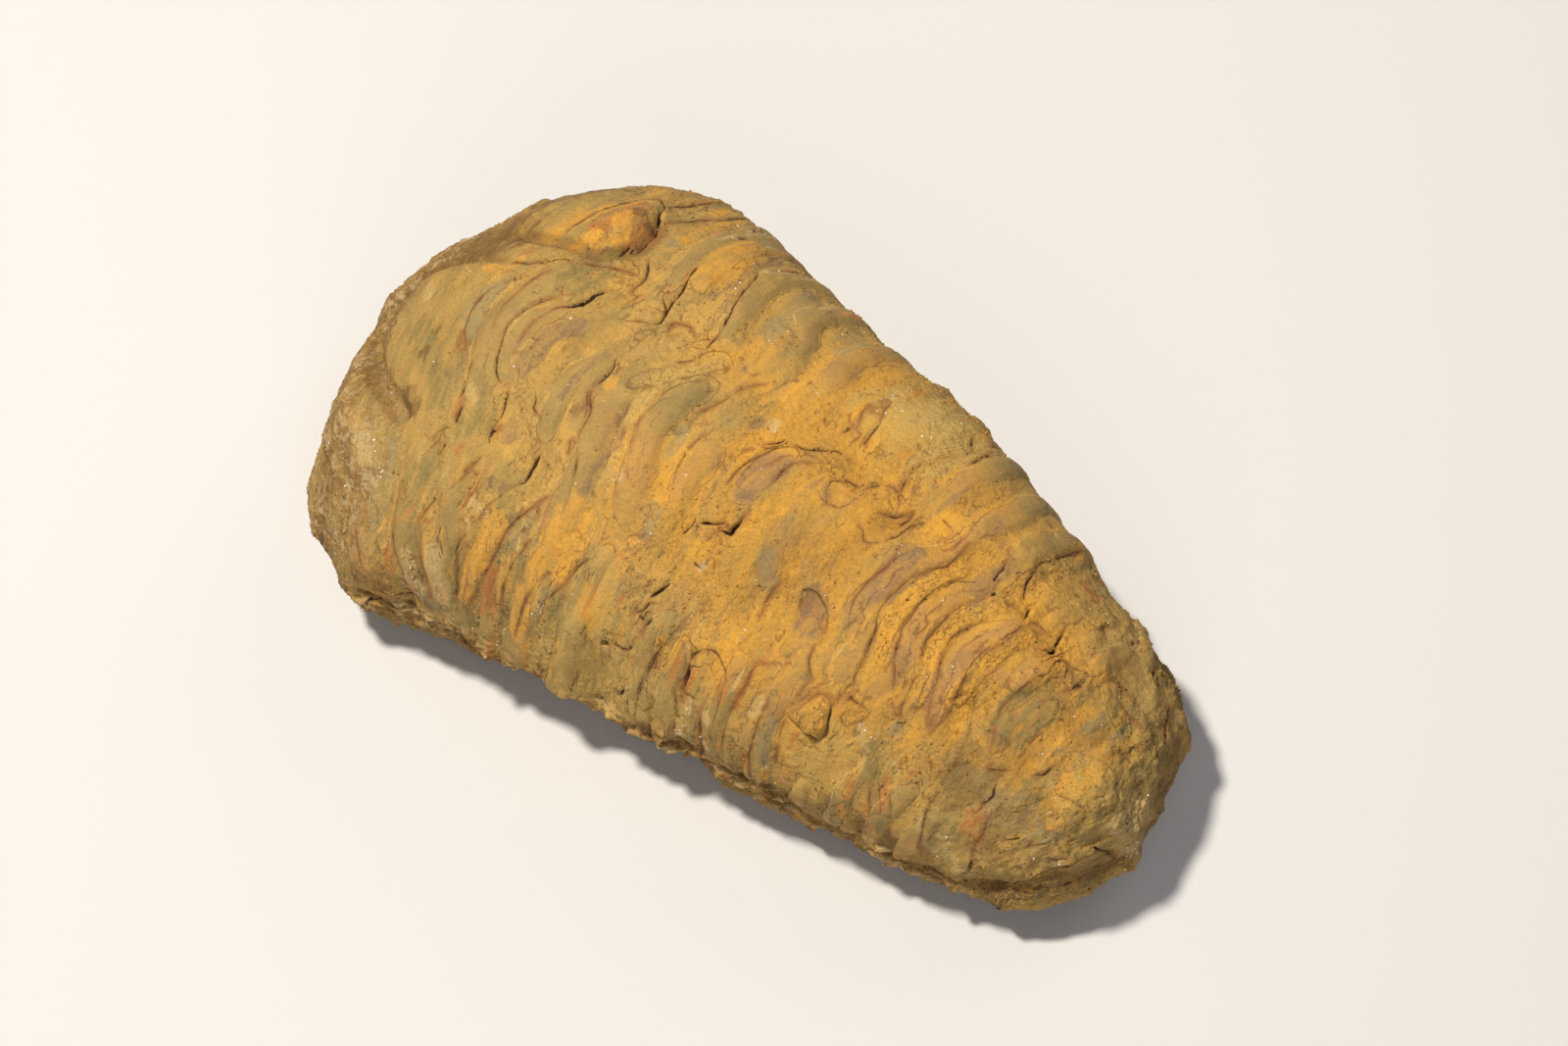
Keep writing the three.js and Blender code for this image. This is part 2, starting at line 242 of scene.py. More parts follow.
def spread(values, stride, length):
    """Values at every stride-th place along the last axis, filled in to all the places."""
    coarse = np.arange(values.shape[-1]) * stride
    rows = values.reshape(-1, values.shape[-1])
    filled = np.stack([np.interp(np.arange(length), coarse, row) for row in rows])
    return filled.reshape(*values.shape[:-1], length)


FACET_REACH = COLUMNS // 130  # takes off the facets of the solid
CREST_REACH = COLUMNS // 26  # wider than a rib, so that what is left over is the rib alone
JOIN_RINGS = 8  # rings over which the flank takes up the height of the rim
FOOT_RINGS = 4  # rings above the flat over which the lumps die out


def solid_relief(points, normals, upper_index, lower_index):
    """The solid's lumps over the plain body, and how far each point is up or down on its rib."""
    picked = upper_index[::SPARSE, ::SPARSE]
    upper = solid_lumps(points[picked.ravel()], normals[picked.ravel()]).reshape(picked.shape)
    upper = spread(upper, SPARSE, COLUMNS + 1)
    upper = spread(upper.T, SPARSE, ROWS + 1).T
    picked = lower_index[: SKIRT_RINGS + 1, ::SPARSE]
    lower = solid_lumps(points[picked.ravel()], normals[picked.ravel()]).reshape(picked.shape)
    lower = np.hstack([lower, lower[:, :1]])
    lower = spread(lower, SPARSE, lower_index.shape[1] + 1)[:, :-1]
    upper = softened(softened(upper, FACET_REACH, False), FACET_REACH, False)
    lower = softened(softened(lower, FACET_REACH, True), FACET_REACH, True)
    relief = np.zeros(len(points))
    relief[upper_index] = upper
    step = relief[lower_index[0]] - lower[0]
    ring = np.arange(1, SKIRT_RINGS + 1)[:, None]
    fade = np.clip(1 - ring / JOIN_RINGS, 0, 1)
    rising = np.clip((SKIRT_RINGS - ring) / FOOT_RINGS, 0, 1)
    relief[lower_index[1 : SKIRT_RINGS + 1]] = (lower[1:] + step * fade) * rising
    crest = np.zeros(len(points))
    crest[upper_index] = upper - softened(upper, CREST_REACH, False)
    crest[lower_index[:SKIRT_RINGS]] = crest[lower_index[0]]
    return relief, crest


# Large odd numbers that stir a place and a seed together, so that each gives its own chance.
STIR_PLACE = (374761393, 668265263, 1274126177)
STIR_SEED = 974634777
STIR_AGAIN = 1103515245
WORD = 0xFFFFFFFF
HALF_WORD = 0xFFFF


def lattice_value(i, j, k, seed):
    """A chance number from -1 to 1 for each corner of the lattice, the same on every run."""
    stir_i, stir_j, stir_k = STIR_PLACE
    h = i * stir_i + j * stir_j + k * stir_k + seed * STIR_SEED
    h = (h & WORD).astype(np.uint64)
    h = ((h ^ (h >> 13)) * STIR_AGAIN) & WORD
    return ((h ^ (h >> 16)) & HALF_WORD) / (HALF_WORD / 2) - 1


def unevenness(points, size, seed):
    """Smooth chance bumps of about this size, between -1 and 1."""
    cell = points / size
    corner_before = np.floor(cell).astype(np.int64)
    t = cell - corner_before
    t = t * t * t * (t * (t * 6 - 15) + 10)
    total = 0
    for corner in range(8):
        step = np.array([corner & 1, corner >> 1 & 1, corner >> 2])
        weight = np.prod(np.where(step, t, 1 - t), axis=1)
        total = total + weight * lattice_value(*(corner_before + step).T, seed)
    return total


def bumps(points, *layers):
    """Chance bumps laid over each other, each with its height, size and seed."""
    return sum(height * unevenness(points, size, seed) for height, size, seed in layers)


def at_least(least, share):
    """A share of 0 to 1, brought up to run from the least to 1."""
    return least + (1 - least) * share


def bell(off, width):
    """1 at the middle, falling off smoothly to either side."""
    return np.exp(-((off / width) ** 2))


def easing(start, full, value):
    """0 up to the start, 1 past the full, and smooth between the two."""
    t = np.clip((value - start) / (full - start), 0, 1)
    return t * t * (3 - 2 * t)


def line_on_body(places, step=0.3):
    """Points close together along a smooth line through places given in thousandths."""
    knots = np.array(places, float) / 1000
    if len(knots) == 1:
        return body_point(knots[:, 0], knots[:, 1])
    knots = np.vstack([2 * knots[0] - knots[1], knots, 2 * knots[-1] - knots[-2]])
    pieces = []
    for a, b, c, d in zip(knots, knots[1:], knots[2:], knots[3:]):
        span = np.linalg.norm(body_point(*b) - body_point(*c))
        t = np.linspace(0, 1, max(2, math.ceil(span / step)), endpoint=False)[:, None]
        bend = (2 * a - 5 * b + 4 * c - d) * t**2
        twist = (3 * b - a - 3 * c + d) * t**3
        pieces.append((2 * b + (c - a) * t + bend + twist) / 2)
    pieces.append(knots[-2:-1])
    line = np.vstack(pieces)
    return body_point(line[:, 0], line[:, 1])


def near_line(points, line, limit):
    """Which points lie within the limit of a line, how far off, and how far along it (0 to 1)."""
    least, most = line.min(0) - limit, line.max(0) + limit
    near = np.flatnonzero(np.all((points > least) & (points < most), axis=1))
    spot = points[near]
    best = np.linalg.norm(spot - line[0], axis=1)
    share = np.zeros(len(near))
    steps = len(line) - 1
    for k in range(steps):
        a, ab = line[k], line[k + 1] - line[k]
        t = np.clip((spot - a) @ ab / (ab @ ab + LEAST_SPAN), 0, 1)
        off = np.linalg.norm(spot - a - t[:, None] * ab, axis=1)
        closer = off < best
        best[closer] = off[closer]
        share[closer] = ((k + t) / steps)[closer]
    kept = best < limit
    return near[kept], best[kept], share[kept]


# Places on the stone are (along, across) in thousandths of p and q.
# The smooth bands, where the shell's own rings and ribs show: width, then the middle line.
BANDS = [
    # The front rings of the middle lobe.
    (2.6, (-370, 115), (-385, 40), (-400, -30), (-400, -90), (-390, -145), (-380, -190), (-370, -280)),
    (1.6, (-330, 30), (-350, -30), (-355, -85), (-355, -140), (-350, -165), (-325, -205)),
    (1.5, (-245, -10), (-255, -85), (-260, -145), (-255, -205), (-250, -285)),
    (1.2, (-230, -20), (-235, -75), (-230, -130), (-225, -185), (-215, -230)),
    (2.1, (-180, 25), (-195, -35), (-195, -105), (-190, -190), (-180, -270), (-180, -425), (-190, -510)),
    (2.2, (-110, 80), (-120, 25), (-130, -55), (-130, -135), (-115, -205), (-105, -280), (-100, -345)),
    (1.9, (-50, -40), (-50, -120), (-50, -185), (-45, -240)),
    # The ribs of the near flank.
    (2.1, (-390, -440), (-410, -510), (-405, -575), (-380, -620), (-370, -680), (-365, -755),
     (-365, -940)),
    (2, (-340, -485), (-320, -585), (-330, -645), (-340, -710), (-340, -800), (-320, -960)),
    (1.3, (-255, -510), (-270, -570), (-290, -650), (-300, -745), (-310, -815), (-300, -950)),
    (1.2, (-255, -615), (-270, -690), (-270, -765), (-265, -845), (-262, -960)),
    (1.9, (-190, -510), (-190, -570), (-190, -670), (-200, -780), (-210, -960)),
    (1.8, (-95, -440), (-100, -500), (-100, -560), (-100, -625), (-105, -670), (-110, -770),
     (-115, -950)),
    (1.6, (30, -500), (25, -575), (25, -650), (30, -725), (35, -880)),
    (1.6, (65, -535), (70, -635), (70, -740), (75, -960)),
    (1.2, (145, -490), (145, -570), (150, -665), (150, -760), (152, -900)),
    (1.5, (205, -445), (210, -535), (215, -635), (220, -730), (220, -960)),
    (1.3, (294, -760), (288, -850), (280, -960)),
    (1.3, (352, -560), (346, -700), (338, -940)),
    (1.3, (410, -560), (402, -720), (395, -940)),
    (1.2, (462, -600), (458, -760), (450, -940)),
    (1.3, (245, -295), (250, -360), (260, -405)),
    # The ribs of the far flank.
    (1.6, (-270, 960), (-275, 700), (-270, 420), (-265, 355), (-255, 280), (-250, 225)),
    (2.1, (-210, 960), (-230, 720), (-240, 535), (-245, 465), (-240, 390), (-235, 325), (-220, 275)),
    (1.8, (-130, 960), (-145, 720), (-165, 480), (-165, 415), (-155, 325), (-150, 265), (-140, 205)),
    (1.8, (-45, 960), (-60, 720), (-80, 490), (-85, 405), (-60, 350), (-55, 265)),
    (2.1, (50, 960), (30, 720), (25, 555), (10, 450), (5, 375), (5, 300), (10, 235)),
    (1.6, (120, 960), (112, 700), (105, 600)),
    (1.6, (192, 960), (185, 700), (178, 600)),
    (1.4, (220, 20), (245, 70), (260, 125), (270, 195), (270, 240)),
    (1.7, (285, 960), (275, 690), (255, 520), (240, 420), (225, 335), (220, 265)),
    (1.7, (350, 960), (345, 690), (315, 510), (300, 385), (280, 290), (280, 215)),
    (1.8, (425, 960), (415, 685), (380, 535), (350, 400), (335, 325), (330, 265)),
    (1.6, (575, 900), (545, 470), (505, 365), (480, 275), (470, 200)),
]

# The rear rings are worn flat and lie a little lower than the crust beside them.
WORN_BANDS = [
    (1.7, (35, 60), (25, 10), (20, -50), (20, -105), (10, -140)),
    (1.6, (90, 35), (115, 65)),
    (1.4, (185, 80), (190, 135)),
    (1.5, (95, -185), (100, -245), (110, -290)),
    (1.6, (170, -240), (180, -285), (185, -325)),
    (1.8, (235, 30), (230, -75), (220, -165), (225, -235), (240, -290)),
    (1.7, (330, 300), (325, 230), (315, 150), (300, 70), (290, 0), (280, -80), (285, -165),
     (300, -315), (300, -410)),
    (1.7, (360, 100), (350, 50), (340, -25), (340, -125), (345, -235), (355, -295), (370, -360)),
    (1.3, (415, 90), (405, 15), (400, -45)),
    (2, (445, -25), (440, -100), (435, -170), (435, -235), (440, -290)),
    (1.4, (475, -50), (475, -150), (480, -230)),
]

# Plates of rough crust that stand up between the worn rings and about the tail.
CRUSTS = [
    (1.2, (285, -295), (270, -230), (255, -125), (260, -30), (270, 60), (285, 135)),
    (1.3, (340, -335), (330, -260), (315, -175), (310, -75), (320, 30), (335, 95), (345, 130)),
    (1.1, (370, -275), (365, -185), (365, -120), (365, -30), (375, 65), (390, 130)),
    (1.2, (400, -80), (415, 0), (425, 75), (445, 125)),
    (2.6, (365, 330), (390, 380), (415, 395), (440, 405), (470, 435)),
    (2.6, (515, -175), (555, -150), (600, -130)),
    (2.2, (500, 230), (530, 205), (565, 190), (605, 155)),
    (1, (-190, -50), (-165, 30), (-140, 95), (-115, 160)),
]

# Open fissures and the sharp steps along flaked edges: width, then the line.
FISSURES = [
    # On the head and the two rings behind it.
    (0.28, (-340, 46), (-354, 36), (-370, -12), (-380, -70), (-378, -96), (-366, -162),
     (-358, -194), (-344, -214)),
    (0.6, (-328, 40), (-320, 56), (-314, 82), (-312, 112), (-308, 128)),
    (0.3, (-402, -202), (-398, -228), (-396, -254), (-394, -280)),
    (0.45, (-384, -306), (-384, -322), (-382, -336), (-382, -346)),
    (0.3, (-388, -362), (-396, -374), (-402, -390)),
    (0.3, (-382, -402), (-384, -416), (-386, -434)),
    (0.3, (-324, -392), (-328, -412), (-334, -426)),
    (0.28, (-328, -224), (-326, -248), (-324, -274), (-326, -306), (-326, -334), (-324, -356)),
    (0.4, (-320, -322), (-324, -330), (-324, -340)),
    (0.8, (-246, -326), (-248, -344), (-248, -366), (-248, -386)),
    (0.3, (-248, -386), (-248, -400), (-256, -412), (-262, -426)),
    (0.14, (-262, -426), (-272, -460), (-280, -492), (-288, -526)),
    (0.2, (-430, -550), (-414, -596), (-388, -662), (-382, -724), (-382, -802)),
    (0.8, (-416, -902), (-406, -910), (-396, -898), (-382, -878)),
    (0.3, (-438, -998), (-418, -980)),
    (0.3, (-380, -926), (-372, -970), (-362, -990)),
    # The long one that winds over the middle lobe.
    (0.2, (-232, -4), (-226, -32), (-228, -92), (-224, -134), (-214, -156), (-210, -182), (-208, -236)),
    (0.24, (-210, -242), (-198, -270), (-190, -300), (-186, -332), (-182, -360), (-180, -384)),
    (0.16, (-296, -188), (-288, -212), (-286, -228), (-276, -238)),
    (0.2, (-232, -106), (-230, -130), (-222, -156)),
    (0.2, (-216, -250), (-212, -274), (-208, -286)),
    # On the far flank of the front rings.
    (0.35, (-246, 318), (-242, 286), (-234, 248), (-230, 196), (-224, 142), (-238, 122), (-248, 110)),
    (0.3, (-306, 272), (-294, 250), (-286, 222), (-286, 196), (-284, 180), (-280, 172)),
    (0.26, (-190, 426), (-180, 362), (-168, 292), (-156, 234), (-152, 204), (-152, 174), (-150, 160)),
    (0.45, (-412, 516), (-382, 468), (-370, 428), (-350, 388), (-342, 356), (-338, 324), (-334, 280)),
    (0.55, (-348, 288), (-346, 256), (-342, 224), (-352, 206)),
    (0.2, (-294, 660), (-272, 582)),
    (0.16, (-270, 468), (-264, 486), (-262, 540)),
    # The gash at mid length, and the small breaks on the near flank beside it.
    (0.35, (-14, -242), (-10, -264), (-14, -298)),
    (0.5, (-2, -248), (12, -230), (24, -212)),
    (0.5, (26, -234), (38, -228), (38, -212), (40, -180)),
    (0.18, (36, -216), (40, -156)),
    (0.2, (20, -254), (18, -276), (12, -288)),
    (0.25, (20, -348), (32, -352), (34, -338)),
    (0.55, (6, -422), (0, -460), (-8, -486)),
    (0.3, (-4, -496), (-8, -522), (-16, -542)),
    (0.3, (10, -528), (8, -550), (6, -580)),
    (0.22, (-116, -482), (-124, -502), (-132, -542), (-142, -588), (-154, -626), (-162, -644)),
    (0.2, (0, -628), (-2, -644), (-22, -666), (-34, -664)),
    (0.3, (-8, -862), (-2, -826), (0, -808)),
    (0.25, (88, -552), (82, -572), (86, -608), (90, -648), (92, -712)),
    (0.3, (108, -930), (120, -922), (132, -906)),
    (0.35, (40, -838), (50, -822)),
    # The worn stretch of the middle lobe.
    (0.28, (84, 356), (88, 318), (92, 294), (94, 262), (94, 218)),
    (0.2, (68, 228), (64, 196)),
    (0.18, (0, 40), (10, 58), (16, 84)),
    (0.18, (28, 84), (44, 94), (58, 118), (74, 148), (84, 152)),
    (0.2, (170, 96), (182, 108), (190, 134), (198, 162)),
    (0.24, (198, 162), (198, 128), (194, 102)),
    (0.2, (-10, 10), (-16, -10), (-20, -48)),
    # The rear rings and their far ribs.
    (0.2, (216, 404), (222, 446), (228, 488)),
    (0.22, (198, 472), (202, 452)),
    (0.22, (222, 542), (228, 606)),
    (0.26, (262, 188), (260, 160), (258, 142)),
    (0.26, (228, 202), (246, 192), (246, 168)),
    (0.25, (314, 246), (318, 206), (318, 162)),
    (0.22, (350, 268), (352, 232), (360, 200)),
    (0.28, (372, 236), (370, 188), (370, 148), (368, 118)),
    (0.4, (408, 108), (416, 122), (420, 138), (418, 146)),
    (0.26, (418, 154), (418, 192), (418, 232)),
    (0.2, (324, 122), (328, 142)),
    (0.2, (468, 180), (472, 170), (472, 144), (466, 110), (462, 80)),
    (0.2, (446, 140), (446, 124), (448, 100)),
    (0.35, (424, 448), (432, 448)),
    (0.25, (410, 378), (416, 374)),
    (0.2, (460, 374), (466, 358)),
    (0.25, (518, 462), (512, 442)),
    (0.4, (576, 466), (570, 428)),
    (0.25, (654, 446), (662, 396), (672, 338), (684, 298)),
    # The rear of the near flank, with the raised flake.
    (0.5, (476, -360), (482, -386), (488, -416), (490, -448), (492, -490)),
    (0.3, (476, -506), (478, -486), (482, -476)),
    (0.24, (452, -344), (460, -334), (470, -308)),
    (0.2, (426, -458), (428, -434), (426, -406)),
    (0.24, (402, -446), (408, -456)),
    (0.2, (500, -256), (508, -232), (508, -198)),
    (0.24, (364, -240), (368, -222)),
    (0.16, (235, -565), (240, -515), (250, -465), (265, -460)),
    (0.5, (236, -572), (260, -588), (280, -592)),
    (0.4, (282, -588), (284, -560), (280, -530), (268, -470)),
    (0.2, (280, -424), (288, -432), (294, -430)),
    (0.2, (332, -388), (342, -394)),
    # The tail, and the long split above its lower border.
    (0.22, (532, -610), (544, -660), (572, -768), (564, -826)),
    (0.6, (632, -814), (678, -768), (724, -688), (726, -628), (722, -552)),
    (0.9, (722, -552), (720, -496), (716, -452), (714, -408)),
    (0.4, (714, -408), (708, -362), (704, -334)),
    (0.5, (864, -470), (870, -430)),
    (0.3, (582, -712), (598, -712)),
    (0.2, (600, -472), (608, -438), (614, -418)),
    (0.2, (564, -518), (576, -478)),
    (0.25, (696, -294), (732, -274), (778, -236)),
    (0.2, (776, -278), (818, -244), (862, -220)),
]

# Thin brown lines, hardly open, where a rib's shell or a thin bed ends: width, then the line.
SHELL_EDGES = [
    # The worn middle: two closed tongues, a curl, and the edges of the rings before it.
    (0.12, (105, 15), (95, 60), (110, 95), (125, 105), (135, 95), (125, 25), (110, 10)),
    (0.12, (130, 100), (145, 155), (160, 175), (175, 160), (180, 115), (170, 95)),
    (0.12, (170, 90), (190, 130), (200, 160), (200, 135), (195, 100)),
    (0.14, (155, 15), (165, 10), (175, -10), (190, 20), (200, 70), (205, 120), (215, 160)),
    (0.12, (-5, -140), (-5, -50), (10, 30), (30, 80)),
    (0.12, (35, -125), (40, -55), (40, 5), (45, 40), (60, 70)),
    (0.08, (-125, -240), (-140, -190), (-150, -125), (-150, -40), (-140, 25), (-115, 85)),
    (0.08, (-60, -220), (-70, -170), (-75, -95), (-70, -40)),
    (0.1, (-95, 0), (-80, 70), (-75, 125), (-60, 175)),
    (0.1, (70, 250), (65, 300), (75, 355)),
    (0.12, (170, 175), (165, 215), (165, 250), (170, 295)),
    # The rear rings and the tail.
    (0.12, (235, -305), (210, -185), (210, -85), (215, 10), (220, 35)),
    (0.14, (275, -395), (260, -290), (250, -215), (240, -165), (240, -55), (250, 20), (265, 85),
     (270, 165)),
    (0.12, (315, -335), (280, -215), (270, -110), (270, -15), (280, 55), (310, 135)),
    (0.12, (335, -385), (320, -265), (305, -185), (300, -85), (305, 20), (320, 100)),
    (0.12, (365, -350), (340, -235), (320, -105), (330, 5), (345, 60), (365, 120)),
    (0.12, (375, -370), (375, -285), (365, -225), (355, -120), (355, -40), (365, 55), (375, 130),
     (385, 165), (400, 165)),
    (0.12, (430, -450), (420, -380), (410, -315), (385, -195)),
    (0.12, (435, -280), (415, -190), (410, -105), (415, -5), (425, 50), (425, 100), (435, 145),
     (450, 155), (470, 180), (470, 115), (445, 25)),
    (0.12, (570, -745), (540, -630), (525, -550), (510, -485)),
    (0.16, (685, 155), (685, 245), (665, 375), (650, 455)),
    (0.14, (360, 200), (350, 250), (350, 315), (370, 410), (410, 615)),
    (0.12, (445, -20), (455, 5), (465, -60), (465, -140), (465, -195)),
    (0.12, (520, 280), (530, 205), (570, 200), (605, 180)),
    (0.14, (705, -365), (740, -280), (900, -190), (920, -105)),
    (0.12, (480, -830), (460, -690), (445, -605), (435, -510)),
    (0.12, (390, -605), (415, -710), (425, -865)),
    (0.12, (365, -640), (385, -745), (390, -875)),
    # The near flank, from mid length back.
    (0.16, (95, -720), (85, -625), (85, -570), (95, -535), (110, -530), (125, -550), (140, -580),
     (145, -650), (150, -735)),
    (0.14, (170, -835), (165, -675), (165, -560), (165, -500), (180, -470)),
    (0.1, (135, -415), (125, -320), (125, -265), (110, -205)),
    (0.14, (165, -290), (155, -245), (170, -230), (190, -250), (205, -300), (210, -345)),
    (0.12, (245, -755), (235, -630), (230, -535), (230, -455)),
    (0.12, (30, -900), (30, -740), (35, -630), (40, -570), (50, -490)),
    (0.1, (90, -930), (90, -770), (75, -680)),
    (0.1, (220, -945), (210, -790), (205, -645), (200, -555)),
    (0.12, (230, -440), (215, -405), (205, -320)),
    (0.12, (135, -995), (135, -825), (125, -715)),
    (0.1, (270, -455), (270, -385), (260, -285), (250, -220)),
    # The near flank behind the head.
    (0.12, (-405, -615), (-385, -700), (-380, -805), (-375, -900)),
    (0.16, (-355, -590), (-355, -675), (-355, -770), (-355, -885), (-340, -945)),
    (0.1, (-365, -580), (-360, -535), (-340, -480), (-330, -435)),
    (0.12, (-320, -815), (-320, -705), (-310, -605), (-295, -555)),
    (0.14, (-300, -795), (-280, -690), (-260, -590), (-250, -525), (-230, -460), (-210, -405)),
    (0.12, (-245, -760), (-240, -640), (-215, -530)),
    (0.12, (-205, -815), (-195, -680), (-180, -600)),
    (0.12, (-510, -715), (-465, -755), (-425, -815), (-410, -880)),
    (0.1, (-465, -630), (-420, -690), (-405, -780)),
    # The head and the first rings.
    (0.12, (-625, 65), (-665, 10), (-665, -80), (-620, -165), (-605, -225)),
    (0.1, (-430, -160), (-445, -130), (-455, -80), (-455, -20), (-440, 25)),
    (0.1, (-440, -180), (-450, -145)),
    (0.12, (-350, -115), (-350, -50), (-340, 5), (-320, 65)),
    (0.1, (-400, -90), (-405, -30), (-400, 45), (-380, 105)),
    (0.12, (-415, 205), (-455, 205), (-495, 195), (-545, 210)),
    (0.1, (-265, 180), (-250, 165), (-230, 180)),
    (0.12, (-620, -280), (-580, -300), (-530, -350)),
    (0.14, (-470, 85), (-435, 95), (-390, 140), (-340, 180), (-305, 220)),
    (0.14, (-440, 235), (-440, 290), (-430, 410), (-420, 495)),
    # High on the far flank of the front rings.
    (0.16, (-350, 425), (-340, 470), (-330, 535), (-320, 580), (-320, 700)),
    (0.16, (-385, 480), (-385, 525), (-375, 580), (-365, 700)),
    (0.14, (-190, 435), (-185, 530), (-185, 605), (-175, 645)),
    (0.12, (-165, 70), (-150, 115), (-145, 155), (-125, 185), (-105, 160)),
    (0.1, (-205, 135), (-210, 165), (-190, 185), (-180, 175)),
]

